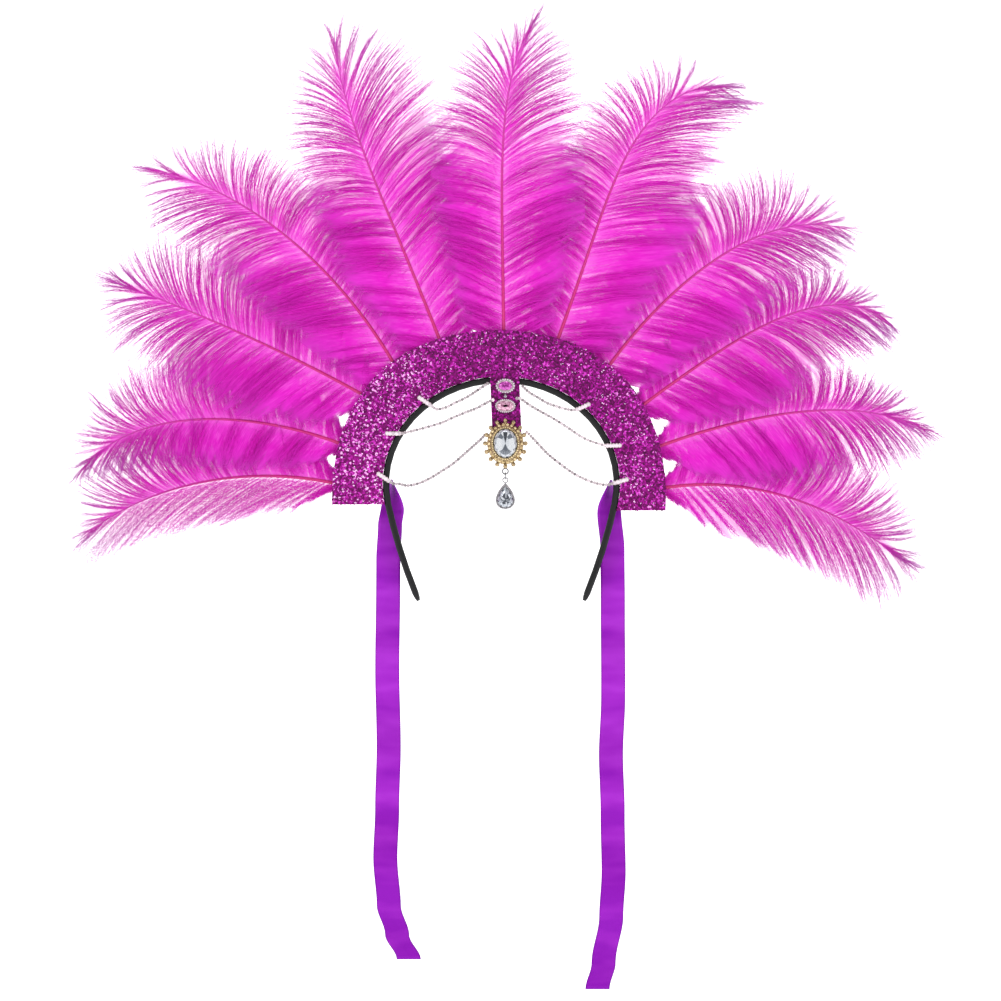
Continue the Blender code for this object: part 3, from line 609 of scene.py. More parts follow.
def barb_course(board, shaft, number, along):
    """Place, direction, sideways direction, tone and share of a point on barb number."""
    hand = hand_of(board, number)
    pairs = board.given("Barbs") * 0.5
    order = (board.maths('FLOOR', number * 0.5) + chance(board, 0.0, 1.0, number, 1)) / pairs
    share = order * (TIP_SPARSE + (1.0 - TIP_SPARSE) * order)
    lock = board.maths('FLOOR', share * BARB_LOCKS + chance(board, -0.3, 0.3, number, 2))
    lock_key = lock * 2.0 + hand + 7.0
    lock_middle = (lock + 0.5 + chance(board, -LOCK_STRAY, LOCK_STRAY, lock_key, 12)) / BARB_LOCKS
    gathered = share + (lock_middle - share) * chance(board, *LOCK_GATHER, lock_key, 13)
    end = within(board, gathered, *END_RANGE)
    root_share = share + (lock_middle - share) * ROOT_GATHER
    reach_share = (chance(board, *LOCK_REACH, lock_key, 3)
                   + chance(board, *BARB_REACH, number, 4))
    bow = chance(board, -0.1, 0.1, number, 5)
    scatter = 1.0 + (board.between(share, *FAN_FROM, 0.0, 1.0)
                     * chance(board, *FAN_OUT, lock_key, 14))
    course, direction = barb_line(board, shaft, hand, root_share, end, reach_share, bow, along,
                                  scatter)
    sideways = cross_y(board, direction)
    wave = board.maths('SINE', along * chance(board, 5.0, 11.0, number, 6)
                       + chance(board, 0.0, 6.28, number, 7))
    course = course + sideways * wave * along * BARB_WAVE
    loose = (chance(board, -LOCK_LOOSE, LOCK_LOOSE, lock_key, 8)
             + chance(board, -BARB_LOOSE, BARB_LOOSE, number, 9)) * along
    depth, passed = layer_depth(board, course)
    depth = (depth + board.maths('MAXIMUM', loose, 0.0)
             + board.maths('MINIMUM', loose, 0.0) * passed)
    place = course + board.xyz(y=depth)
    tone = chance(board, 0.0, 0.6, lock_key, 10) + chance(board, 0.0, 0.4, number, 11)
    return place, direction, sideways, tone, share


# %% [markdown]
# The tree then makes three things from the shaft's line: the tapered shaft, a
# narrow strip for each barb, turned a little out of the plane by chance, and one
# thin triangle for each barbule. A strip has eight faces and a barbule one, so a
# whole plume stays light. Numbers stored on the points carry each barb's tone and
# the share of its length to the material. A second tree makes the haze of the
# finest barbules as one thin sheet on each side of the shaft, which follows the
# barbs, because single triangles that small would run into millions.

# %% Tree that grows a plume
SHAFT_INPUTS = (
    ("Angle", 'Float', 0.0), ("Side", 'Float', 0.0), ("Sweep", 'Float', 0.0),
    ("Hook", 'Float', 0.0), ("Length", 'Float', 0.2), ("Left width", 'Float', 1.0),
    ("Right width", 'Float', 1.0), ("Quill share", 'Float', 0.1), ("Fullness", 'Float', 1.0),
    ("Seed", 'Int', 1))


STRIP_TILT, BARBULE_TILT = 1.1, 1.2      # chance turns out of the plane, in radians
BARBULE_OPEN = (0.15, 0.75)              # angle between a barbule and its barb
BARBULE_LENGTHS = (0.5, 1.2)
SHAFT_TIP_RADIUS = 0.22 * MM


def make_plume_tree(barb_material, shaft_material):
    board = new_tree("plume", SHAFT_INPUTS + (
        ("Barbs", 'Int', 860), ("Rows", 'Int', 8), ("Barbules", 'Int', 38),
        ("Barb width", 'Float', 0.22 * MM), ("Barbule length", 'Float', 6.0 * MM),
        ("Barbule width", 'Float', 0.17 * MM)))
    given = board.given
    shaft = seed_line(board)

    strip = board.node("GeometryNodeMeshGrid", values={
        "Size X": 2.0, "Size Y": 1.0, "Vertices X": 2, "Vertices Y": given("Rows") + 1.0})
    place = board.split(board.position())
    strip = keep(board, strip, "across", place)
    strip = keep(board, strip, "along", place.other("Y") + 0.5)
    roots = board.node("GeometryNodePoints", values={"Count": given("Barbs")})
    roots = keep(board, roots, "barb", board.index())
    strips = board.real(board.copies(roots, strip))
    number, along = kept(board, "barb"), kept(board, "along")
    course, _, sideways, tone, share = barb_course(board, shaft, number, along)
    tilt = chance(board, -STRIP_TILT, STRIP_TILT, number, 20)
    across = (sideways * board.maths('COSINE', tilt)
              + board.xyz(y=board.maths('SINE', tilt)))
    slim = (given("Barb width") * (1.0 - board.maths('POWER', along, 4.0) * 0.85)
            * board.between(along, 0.0, 0.4, 0.8, 1.0)
            * board.between(share, 0.4, 1.0, 1.0, 0.5)
            * board.between(share, 0.8, 1.0, 1.0, 0.5)
            * (1.0 - thinness(board, hand_of(board, number))))
    strips = keep(board, strips, "share", share)
    strips = keep(board, strips, "tone", tone)
    strips = board.moved(strips, course + across * (slim * kept(board, "across")))

    spike = board.node("GeometryNodeMeshCircle", {"fill_type": 'NGON'}, {"Vertices": 3})
    spike = keep(board, spike, "corner", board.index())
    seats = board.node("GeometryNodePoints", values={"Count": given("Barbs") * given("Barbules")})
    seats = keep(board, seats, "barbule", board.index())
    spikes = board.real(board.copies(seats, spike))
    key, corner = kept(board, "barbule"), kept(board, "corner")
    number = board.maths('FLOOR', (key + 0.5) / given("Barbules"))
    along = ((key - number * given("Barbules") + chance(board, 0.0, 1.0, key, 30))
             / given("Barbules") * 0.93 + 0.05)
    course, direction, sideways, tone, share = barb_course(board, shaft, number, along)
    opening = chance(board, *BARBULE_OPEN, key, 31)
    tilt = chance(board, -BARBULE_TILT, BARBULE_TILT, key, 32)
    out = (sideways * (hand_of(board, key) * board.maths('COSINE', tilt))
           + board.xyz(y=board.maths('SINE', tilt)))
    spread = direction * board.maths('COSINE', opening) + out * board.maths('SINE', opening)
    length = (given("Barbule length") * chance(board, *BARBULE_LENGTHS, key, 33)
              * (1.0 - 0.55 * along) * board.between(share, 0.5, 1.0, 1.0, 0.4))
    at_tip = board.maths('GREATER_THAN', corner, 1.5)
    foot = ((corner * 2.0 - 1.0) * (1.0 - at_tip) * given("Barbule width")
            * board.between(share, 0.78, 1.0, 1.0, 0.6))
    spikes = keep(board, spikes, "along", along)
    spikes = keep(board, spikes, "share", share)
    spikes = keep(board, spikes, "tone", tone * 0.8 + chance(board, 0.1, 0.3, key, 34))
    spikes = board.moved(spikes, course + direction * foot + spread * (length * at_tip))

    factor = board.node("GeometryNodeSplineParameter", out="Factor")
    radius = board.between(factor, 0.08, 1.0, QUILL_RADIUS, SHAFT_TIP_RADIUS, 'LINEAR')
    round_line = keep(board, shaft, "along", factor)
    round_line = board.node("GeometryNodeSetCurveRadius", values={"Curve": round_line,
                                                                  "Radius": radius})
    section = board.node("GeometryNodeCurvePrimitiveCircle", {"mode": 'RADIUS'},
                         {"Resolution": 8, "Radius": 1.0})
    tube = board.node("GeometryNodeCurveToMesh", values={
        "Curve": round_line, "Profile Curve": section, "Fill Caps": True})
    if "Scale" in tube.socket.node.inputs:
        board.feed(tube.socket.node.inputs["Scale"], radius)
    return close_tree(board, join(board, paint(board, strips, barb_material),
                                  paint(board, spikes, barb_material),
                                  paint(board, tube, shaft_material)))


# %% Tree that grows the haze
HAZE_WAVE = 1.5 * MM


def make_haze_tree(material):
    """Two thin sheets that follow the barbs, with a UV map: share by length of barb."""
    board = new_tree("haze", SHAFT_INPUTS + (("Columns", 'Int', 150), ("Rows", 'Int', 12),
                                             ("Reach", 'Float', 0.97)))
    given = board.given
    shaft = seed_line(board)
    sheets = []
    for hand in (1.0, -1.0):
        grid = board.node("GeometryNodeMeshGrid", values={
            "Size X": 1.0, "Size Y": 1.0, "Vertices X": given("Columns"),
            "Vertices Y": given("Rows")})
        place = board.split(board.position())
        grid = keep(board, grid, "share", place + 0.5)
        grid = keep(board, grid, "along", place.other("Y") + 0.5)
        grid = keep(board, grid, "plume", given("Seed") * 0.37 + hand)
        grid = keep(board, grid, "full", 1.0 - thinness(board, hand))
        share, along = kept(board, "share"), kept(board, "along")
        chart = board.xyz(x=share * 0.98 + 0.01,
                          y=along * 0.47 + (0.51 if hand > 0.0 else 0.01))
        grid = board.node("GeometryNodeStoreNamedAttribute",
                          {"data_type": 'FLOAT2', "domain": 'CORNER'},
                          {"Geometry": grid, "Name": "UVMap", "Value": chart})
        end = board.maths('MAXIMUM', share, END_RANGE[0])
        course, _ = barb_line(board, shaft, hand, share, end, given("Reach"), 0.0, along)
        depth, passed = layer_depth(board, course)
        depth = depth + board.maths('SINE', share * 70.0 + hand) * along * HAZE_WAVE * passed
        sheets.append(board.moved(grid, course + board.xyz(y=depth)))
    sheet = board.node("GeometryNodeSetShadeSmooth", values={"Geometry": join(board, *sheets)})
    return close_tree(board, paint(board, sheet, material))


# %% Dyed barbs, haze and shafts
FADED_DYE, LIGHT_DYE = (0.42, 0.105, 0.41, 1.0), (0.86, 0.28, 0.78, 1.0)
# Painted glow: the barbs and haze emit their own colour a little, standing in for light passing
# through them and lifting their self-shadow.
PAINTED_GLOW = 0.10           # a little glow, for light that passes between the barbs
HAZE_STREAKS, HAZE_LOCKS = 230.0, 52.0


def make_barb_material():
    """Magenta dye, which fades to a greyish violet where barbs end near the tip."""
    board = new_material("dyed barbs", Roughness=0.65, Specular_IOR_Level=0.1)
    share, along = attribute(board, "share"), attribute(board, "along")
    dye = board.ramp([
        (0.0, (0.72, 0.040, 0.56)), (0.3, (0.64, 0.010, 0.47)), (0.8, (0.60, 0.016, 0.46)),
        (1.0, (0.52, 0.050, 0.44))], along)
    faded = (board.between(share, 0.35, 0.95, 0.0, 1.0)
             * board.between(along, 0.1, 0.9, 0.15, 0.95))
    colour = (board.mix(faded, dye, FADED_DYE)
              * (0.80 + attribute(board, "tone") * 0.24))
    # The emission here is painted glow.
    return finish_with(board, Base_Color=colour, Emission_Color=colour,
                       Emission_Strength=PAINTED_GLOW)


def make_haze_material():
    """Streaks along the barbs: nearly solid in the lower half, thin and light at the tip."""
    board = new_material("barbule haze", Roughness=0.7, Specular_IOR_Level=0.1)
    share, along = attribute(board, "share"), attribute(board, "along")
    plume = attribute(board, "plume")
    streak = board.noise(board.xyz(x=share * HAZE_STREAKS, y=along * 4.0, z=plume),
                         1.0, Detail=2.0, Roughness=0.6)
    lock = board.noise(board.xyz(x=share * HAZE_LOCKS, y=along * 1.5, z=plume + 9.0),
                       1.0, Detail=1.0)
    ragged = along + (lock - 0.5) * 0.7 + (streak - 0.5) * 0.3
    upper = board.between(share, 0.22, 0.66, 0.0, 1.0)
    fading = 0.70 - upper * 0.2
    outer = board.between(along, 0.04, 0.4, 0.2, 1.0)
    cover = ((1.0 - upper * outer * 0.62) * (0.15 + attribute(board, "full") * 0.85)
             * board.between(share, 0.86, 1.0, 1.0, 0.5)
             * board.between(ragged - fading, 0.0, 0.42, 1.0, 0.0))
    alpha = cover * board.between(streak, 0.30, 0.56, 0.82 - upper * outer * 0.55, 1.0, 'LINEAR')
    colour = board.ramp([
        (0.0, (0.74, 0.10, 0.60)), (0.15, (0.70, 0.035, 0.54)), (0.45, (0.65, 0.010, 0.48)),
        (1.0, (0.58, 0.03, 0.48))], along)
    lighter = (board.between(streak, 0.5, 0.72, 0.0, 0.5) * (0.35 + upper * 0.65)
               * board.between(along, 0.0, 0.25, 0.25, 1.0)
               * board.between(along, 0.3, 0.8, 1.0, 0.3))
    colour = board.mix(lighter, colour, LIGHT_DYE)
    # The emission here is painted glow.
    return finish_with(board, Base_Color=colour, Emission_Color=colour,
                       Emission_Strength=PAINTED_GLOW, Alpha=alpha)


def make_shaft_material():
    """The dyed shaft is crimson and smoother than the barbs, with fine lengthwise grain."""
    board = new_material("dyed shaft", Roughness=0.4)
    grain = board.noise(object_place(board), 700.0)
    colour = board.ramp([
        (0.1, (0.52, 0.006, 0.15)), (0.45, (0.50, 0.006, 0.20)), (0.8, (0.52, 0.02, 0.36)),
        (1.0, (0.50, 0.06, 0.42))], attribute(board, "along")) * (0.75 + grain * 0.5)
    return finish_with(board, Base_Color=colour, Normal=bump(board, grain, 0.05 * MM, 0.4))


barb_material = make_barb_material()
shaft_material = make_shaft_material()
plume_tree = make_plume_tree(barb_material, shaft_material)
haze_tree = make_haze_tree(make_haze_material())
print("plume tree:", len(plume_tree.nodes), "nodes, haze tree:", len(haze_tree.nodes), "nodes")

# %% Grow the eleven plumes
def make_plume(row):
    plume = PLUMES[row]
    side = float((row > CENTRE_PLUME) - (row < CENTRE_PLUME))
    line = shaft_line(plume, side)
    length = PLUME_LENGTH * plume.length
    name = "plume_%02d" % (row + 1)
    values = {
        "Angle": math.radians(plume.angle), "Side": side,
        "Sweep": math.radians(plume.sweep), "Hook": math.radians(plume.hook),
        "Length": length, "Left width": plume.left, "Right width": plume.right,
        "Quill share": QUILL_HIDDEN / (QUILL_HIDDEN + length),
        "Fullness": THINNER.get(row, 1.0), "Seed": 100 * (row + 1)}
    piece = grow(name + "_barbs", line_mesh(name + "_line", line), plume_tree, values)
    haze = grow(name + "_haze", line_mesh(name + "_haze_line", line), haze_tree, values)
    for part in (piece, haze):
        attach(part, "headdress")
    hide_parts(name)


for row in range(len(PLUMES)):
    make_plume(row)

# %% [markdown]
# ## Glitter foam
# The half ring and the tab are cut from thin craft foam with coarse glitter on
# its face. The CAD solids have the right form and stay. Their material breaks the
# face into small cells of many tones, and real flakes are scattered on top, each
# tilted its own way, so that some catch the light.

# %% Glitter material and flakes
GLITTER_STOPS = [(0.0, (0.06, 0.0005, 0.040)), (0.4, (0.18, 0.001, 0.125)),
                 (0.66, (0.36, 0.003, 0.27)), (0.80, (0.70, 0.05, 0.60)),
                 (0.93, (1.0, 0.62, 0.97))]


# Painted light: the foam's colour and its flakes are painted lighter over these two stretches,
# where the lamps light it more.
LEFT_SIDE = (-85.0 * MM, -10.0 * MM)       # the lamps light the left side of the foam more,
RIGHT_SIDE = (20.0 * MM, 90.0 * MM)        # and the right side a little more, than its middle


def make_foam_material(name, darker):
    board = new_material(name, Roughness=0.6, Specular_IOR_Level=0.15)
    place = object_place(board)
    cells = board.node("ShaderNodeTexVoronoi", values={"Vector": place, "Scale": 950.0},
                       out="Color")
    tone = board.node("ShaderNodeSeparateColor", values={"Color": cells}, out="Red")
    across = board.split(place)
    # Painted light: lift makes the foam's colour lighter on its left side and a little lighter on
    # its right side.
    lift = (board.between(across, *LEFT_SIDE, 0.12, 0.0)
            + board.between(across, *RIGHT_SIDE, 0.0, 0.04))
    mixed = tone * 0.85 + board.noise(place, 45.0) * 0.2 + lift
    colour = board.ramp(GLITTER_STOPS, mixed - darker)
    return finish_with(board, Base_Color=colour, Normal=bump(board, tone, 0.15 * MM, 0.6))


def make_flake_material():
    board = new_material("glitter flakes", Metallic=0.7, Roughness=0.35)
    return finish_with(board, Base_Color=board.ramp(GLITTER_STOPS, attribute(board, "tone")))


def make_flake_tree(material):
    board = new_tree("flakes", (("Density", 'Float', 4.0e5), ("Flake radius", 'Float', 0.6 * MM),
                                ("Tilt", 'Float', 0.5), ("Dark share", 'Float', 1.5),
                                ("Seed", 'Int', 3)))
    given = board.given
    facing = board.split(board.node("GeometryNodeInputNormal"), "Y")
    scatter = board.node("GeometryNodeDistributePointsOnFaces", values={
        "Mesh": given("Geometry"), "Selection": board.maths('LESS_THAN', facing, -0.5),
        "Density": given("Density"), "Seed": given("Seed")}, out="Points")
    index = board.index()
    across = board.split(board.position())
    # Painted light: flakes on the left side, and a little on the right side, get lighter tones.
    painted_side_light = (board.between(across, *LEFT_SIDE, 0.45, 1.0)
                * board.between(across, *RIGHT_SIDE, 1.0, 0.7))
    points = keep(board, scatter, "tone",
                  chance(board, 0.0, 1.0, index, 1) ** (given("Dark share") * painted_side_light))
    flake = board.node("GeometryNodeMeshCircle", {"fill_type": 'NGON'},
                       {"Vertices": 6, "Radius": given("Flake radius")})
    lean = board.xyz(x=chance(board, -1.0, 1.0, index, 2) * given("Tilt"),
                     y=chance(board, -1.0, 1.0, index, 3) * given("Tilt"),
                     z=chance(board, 0.0, 6.28, index, 4))
    turn = board.node("FunctionNodeRotateRotation", {"rotation_space": 'LOCAL'},
                      {"Rotation": scatter.other("Rotation"),
                       "Rotate By": board.node("FunctionNodeEulerToRotation", values={0: lean})})
    flakes = board.copies(points, flake, Rotation=turn, Scale=chance(board, 0.45, 1.1, index, 5))
    return close_tree(board, paint(board, flakes, material))


flake_tree = make_flake_tree(make_flake_material())


def dress(node, material):
    """Give a CAD node a better material, on the node's own object."""
    for slot in frame["nodes"][node].material_slots:
        slot.material = material


for node, density, dark_share, darker in (("crown_plate", 6.0e5, 2.6, 0.14),
                                          ("centre_tab", 1.5e5, 6.0, 0.16)):
    dress(node, make_foam_material(node + " glitter foam", darker))
    flakes = grow(node + "_flakes", frame["nodes"][node].data.copy(), flake_tree,
                  {"Density": density, "Dark share": dark_share, "Seed": 3})
    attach(flakes, "headdress")

# %% [markdown]
# ## Headband
# The band is a springy strip wrapped in black satin tape. Its form is right in
# the frame, so the tape is a copy of it, merged and pushed out by the tape's own
# thickness, which closes the hairline gap to the half ring. Its material has fine
# crossed threads and slightly rubbed places.

# %% Black satin on the band
def make_band_material():
    board = new_material("black band satin", Specular_IOR_Level=0.25)
    place = object_place(board)
    threads = board.node("ShaderNodeTexWave", {"wave_type": 'BANDS', "bands_direction": 'Y'},
                         {"Vector": place, "Scale": 620.0, "Distortion": 0.6})
    rubbed = board.noise(place, 60.0)
    colour = board.ramp([(0.3, (0.005, 0.0055, 0.006)), (0.7, (0.010, 0.010, 0.011))], rubbed)
    return finish_with(board, Base_Color=colour,
                       Roughness=board.between(rubbed, 0.3, 0.7, 0.42, 0.6, 'LINEAR'),
                       Normal=bump(board, threads, 0.06 * MM, 0.5))


TAPE_THICK = 0.27 * MM


def wrap_band(material):
    """Copy of the band, a tape's thickness larger all round."""
    body = bmesh.new()
    body.from_mesh(frame["nodes"]["headband"].data)
    bmesh.ops.remove_doubles(body, verts=body.verts, dist=0.01 * MM)
    bmesh.ops.recalc_face_normals(body, faces=body.faces)
    body.normal_update()
    for vertex in body.verts:
        vertex.co += vertex.normal * TAPE_THICK
    mesh = bpy.data.meshes.new("band_tape")
    body.to_mesh(mesh)
    body.free()
    mesh.shade_smooth()
    mesh.set_sharp_from_angle(angle=math.radians(40.0))
    mesh.materials.clear()
    mesh.materials.append(material)
    tape = mesh_object("band_tape", mesh)
    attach(tape, "headdress")
    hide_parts("headband")
    return tape


band_tape = wrap_band(make_band_material())
print("headband wrapped:", len(band_tape.data.polygons), "faces")

# %% [markdown]
# ## Ribbons
# Each ribbon is one length of purple satin, 14.6 mm wide. It starts flat on the
# leg's inner face, turns to the front, and hangs in slow waves. It is a thin strip
# lofted along the CAD model's line, with finer stations and slightly rolled edges,
# because a free fall of a narrow ribbon is a simple shape that needs no simulation.

# %% Ribbon strips
RIBBON_WIDTH = 14.6 * MM
RIBBON_SEAT = 54.0 * MM
RIBBON_TWIST = 36.0 * MM
RIBBON_LEG = 66.9 * MM
RIBBON_SHOWS = 0.014     # share of its drop that lies hidden on the leg
RIBBON_THICK, RIBBON_ROLL = 0.4 * MM, 0.35 * MM
RIBBON_WAVE, RIBBON_WAVES = 2.6 * MM, 4.6       # how far it waves fore and aft, how often
RIBBON_STATIONS, RIBBON_COLUMNS = 150, 8
RibbonRow = namedtuple("RibbonRow", "down side")
RIBBONS = {
    "ribbon_left": (-1.0, 293.0 * MM, (
        RibbonRow(0.00, -0.06), RibbonRow(0.04, -0.10), RibbonRow(0.07, -0.10),
        RibbonRow(0.11, 0.01), RibbonRow(0.18, 0.08), RibbonRow(0.42, 0.12),
        RibbonRow(0.57, 0.06), RibbonRow(0.69, 0.13), RibbonRow(0.79, 0.20),
        RibbonRow(0.89, 0.06), RibbonRow(0.95, -0.28), RibbonRow(1.00, -0.77))),
    "ribbon_right": (1.0, 311.0 * MM, (
        RibbonRow(0.00, -0.06), RibbonRow(0.04, -0.12), RibbonRow(0.07, -0.14),
        RibbonRow(0.15, 0.00), RibbonRow(0.26, 0.02), RibbonRow(0.44, 0.03),
        RibbonRow(0.55, -0.06), RibbonRow(0.66, 0.01), RibbonRow(0.77, 0.05),
        RibbonRow(0.86, -0.05), RibbonRow(0.95, -0.36), RibbonRow(1.00, -0.62))),
}


def table_value(rows, down):
    for (a, low), (b, high) in zip(rows, rows[1:]):
        if down <= b:
            return mix(low, high, smoothstep((down - a) / (b - a)))
    return rows[-1][1]


def ribbon_row(side, drop, rows, down):
    """Middle, width direction and thickness direction of a ribbon at a share of its drop."""
    fallen = drop * down
    turn = math.radians(90.0) * (1.0 - smoothstep(fallen / RIBBON_TWIST * 1.2))
    wave = (RIBBON_WAVE * math.sin(2.0 * math.pi * RIBBON_WAVES * down)
            * smoothstep((down - 0.15) * 5))
    x = side * (RIBBON_LEG + RIBBON_WIDTH * table_value(rows, down))
    y = mix(3.4 * MM, 6.4 * MM, smoothstep(fallen / RIBBON_TWIST * 1.6)) + wave
    middle = Vector((x, y, -RIBBON_SEAT - fallen))
    return (middle, Vector((side * math.cos(turn), math.sin(turn), 0.0)),
            Vector((-side * math.sin(turn), math.cos(turn), 0.0)))


def make_ribbon(name, material):
    side, drop, rows = RIBBONS[name]
    stations, columns = RIBBON_STATIONS, RIBBON_COLUMNS
    points, length, last = [], 0.0, None
    for k in range(stations + 1):
        down = RIBBON_SHOWS + (1.0 - RIBBON_SHOWS) * (k / stations) ** 1.15
        middle, wide, deep = ribbon_row(side, drop, rows, down)
        if last is not None:
            length += (middle - last).length
        last = middle
        for layer in (-0.5, 0.5):
            for c in range(columns + 1):
                share = c / columns * 2.0 - 1.0
                roll = RIBBON_ROLL * share ** 4
                points.append(middle + wide * share * RIBBON_WIDTH / 2
                              + deep * (layer * RIBBON_THICK - roll))
    stride, row = 2 * (columns + 1), columns + 1
    faces = []
    for k in range(stations):
        a, b = k * stride, (k + 1) * stride
        for c in range(columns):
            faces.append((a + c, a + c + 1, b + c + 1, b + c))
            faces.append((a + row + c + 1, a + row + c, b + row + c, b + row + c + 1))
        faces.append((a + row, a, b, b + row))
        faces.append((a + columns, a + row + columns, b + row + columns, b + columns))
    for a, flip in ((0, 1), (stations * stride, -1)):
        for c in range(columns):
            faces.append((a + c, a + row + c, a + row + c + 1, a + c + 1)[::flip])
    mesh = mesh_of_faces(name + "_satin", points, faces, material)
    mesh.shade_smooth()
    uv = mesh.uv_layers.new(name="UVMap")
    for loop in mesh.loops:
        station, place = divmod(loop.vertex_index, stride)
        uv.data[loop.index].uv = ((place % row) / columns,
                                  station / stations * length / RIBBON_WIDTH)
    turn_outwards(mesh)
    piece = mesh_object(name + "_satin", mesh)
    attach(piece, "headdress")
    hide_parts(name)
    print("%s: %.0f mm of ribbon" % (name, length / MM))


def make_ribbon_material():
    """Purple satin: fine crosswise ribs, painted long soft bands of light, painted shade on its
    lower part, a woven edge.
    """
    board = new_material("purple satin", Specular_IOR_Level=0.12)
    uv = board.node("ShaderNodeTexCoord", out="UV")
    split = board.split(uv)
    ribs = board.maths('SINE', split.other("Y") * 260.0)
    # Painted light: this noise paints soft lighter and darker bands on the satin.
    cloud = board.noise(uv * (0.25, 1.0, 1.0), 1.1, Detail=2.0)
    # Painted shade: the colour is a little lighter above 12 ribbon widths down and darker below
    # 17.
    colour = board.ramp([
        (0.35, (0.25, 0.004, 0.43)), (0.5, (0.31, 0.012, 0.49)), (0.68, (0.37, 0.024, 0.56))],
        cloud + board.between(split.other("Y"), 12.0, 17.0, 0.04, -0.13))
    edge = board.between(board.maths('ABSOLUTE', split - 0.5), 0.44, 0.48, 1.0, 0.88)
    fine = board.noise(uv * (40.0, 4.0, 1.0), 6.0)
    return finish_with(board, Base_Color=colour * edge,
                       Roughness=board.between(fine, 0.3, 0.7, 0.5, 0.64, 'LINEAR'),
                       Normal=bump(board, ribs, 0.03 * MM, 0.35))


ribbon_material = make_ribbon_material()
for name in RIBBONS:
    make_ribbon(name, ribbon_material)

# %% [markdown]
# ## Metals and stones
# Plated metal is a Metallic shader with slight tarnish in its roughness. A cut
# stone with a foil back shows bright and dark facets side by side, so each face
# carries a painted reflection, a tone of light and shade, and a clear coat gives gloss.

# %% Metal and stone materials
def make_metal(name, low, high, roughness):
    board = new_material(name, Metallic=1.0)
    cloud = board.noise(object_place(board), 900.0)
    dull = board.between(cloud, 0.3, 0.7, roughness, roughness + 0.14, 'LINEAR')
    return finish_with(board, Base_Color=board.ramp([(0.3, low), (0.7, high)], cloud),
                       Roughness=dull, Normal=bump(board, cloud, 0.04 * MM, 0.3))


def make_cut_material(name, stops):
    board = new_material(name, Metallic=0.25, Roughness=0.12, Coat_Weight=1.0,
                         Coat_Roughness=0.03)
    # Painted reflections: the painted tone of each face, with random flaws, picks the colour from
    # dark to bright.
    flaw = board.noise(object_place(board), 500.0)
    tone = attribute(board, "painted_facet_light") + (flaw - 0.5) * 0.16
    return finish_with(board, Base_Color=board.ramp(stops, tone))


gold = make_metal("gold plate", (0.38, 0.27, 0.12), (0.92, 0.77, 0.48), 0.22)
# Painted shade: the dish under the beads and the rays get this darker gold, standing in for the
# shade in the jewel's crevices.
shaded_gold = make_metal("gold with painted shade", (0.20, 0.14, 0.08), (0.60, 0.46, 0.27), 0.28)
dark_silver = make_metal("darkened silver", (0.09, 0.09, 0.10), (0.34, 0.33, 0.35), 0.22)
silver = make_metal("silver plate", (0.26, 0.25, 0.27), (0.62, 0.60, 0.62), 0.16)
rose_silver = make_metal("pinkish silver", (0.52, 0.38, 0.42), (0.90, 0.74, 0.78), 0.2)
crystal = make_cut_material("clear crystal", [
    (0.0, (0.022, 0.026, 0.036)), (0.3, (0.15, 0.17, 0.21)), (0.55, (0.55, 0.58, 0.63)),
    (1.0, (0.97, 0.97, 0.98))])
strass = make_cut_material("small strass", [
    (0.0, (0.16, 0.14, 0.16)), (0.35, (0.38, 0.34, 0.36)), (0.7, (0.70, 0.62, 0.67)),
    (1.0, (0.95, 0.84, 0.91))])
pale_pink = make_cut_material("pale pink stone", [
    (0.0, (0.13, 0.035, 0.08)), (0.5, (0.44, 0.14, 0.27)), (1.0, (0.88, 0.58, 0.72))])
print("metals and stones ready")

# %% [markdown]
# ## Strands of stones
# Six strands hang between the half ring and the tab. Each is a cup chain: small
# clear stones in silver cups on a fine wire, a little larger on the end that is
# glued to the foam. A tree sets one cup and stone every 1.8 millimetres along
# the strand's line, all facing the front, and draws the wire through them.

# %% Lines of the strands
STRAND_ROUTES = {
    "chain_left_upper": [(-49.0, -9.2), (-42.3, -13.8), (-38.7, -16.1), (-33.2, -15.0),
                         (-27.8, -12.3), (-21.8, -9.5), (-17.2, -6.7), (-12.5, -3.5),
                         (-8.2, -0.7)],
    "chain_left_middle": [(-68.4, -30.6), (-60.2, -30.6), (-53.9, -29.3), (-44.7, -26.9),
                          (-35.6, -24.2), (-28.6, -21.0), (-21.8, -18.2), (-14.8, -15.5),
                          (-8.0, -11.8), (-5.2, -10.6)],
    "chain_left_lower": [(-73.6, -54.9), (-65.1, -60.4), (-60.8, -60.9), (-56.2, -61.9),
                         (-49.4, -60.5), (-42.4, -57.3), (-35.6, -53.1), (-28.6, -48.5),
                         (-21.8, -42.6), (-17.2, -38.5), (-12.5, -34.3), (-10.0, -31.6)],
    "chain_right_upper": [(52.2, -13.2), (44.4, -16.5), (38.8, -16.0), (33.0, -14.4),
                          (27.6, -12.5), (22.3, -9.3), (16.9, -6.1), (12.9, -2.4)],
    "chain_right_middle": [(71.0, -37.8), (62.8, -37.9), (59.8, -37.2), (52.8, -35.0),
                           (46.6, -31.8), (39.1, -26.7), (31.4, -21.9), (22.8, -17.1),
                           (16.9, -13.6), (11.5, -9.8), (9.6, -9.6)],
    "chain_right_lower": [(75.2, -58.2), (64.3, -61.2), (58.1, -60.8), (50.6, -58.3),
                          (43.6, -54.8), (36.7, -50.0), (28.6, -43.6), (22.8, -37.7),
                          (16.9, -31.3), (15.4, -30.0)],
}
OVER_TAB = ("chain_left_middle", "chain_right_middle")
STRAND_OUTER_Y = -6.2 * MM
STRAND_INNER_Y = -5.75 * MM
STRAND_TAB_Y = -8.05 * MM
STRAND_BOW = 2.4 * MM


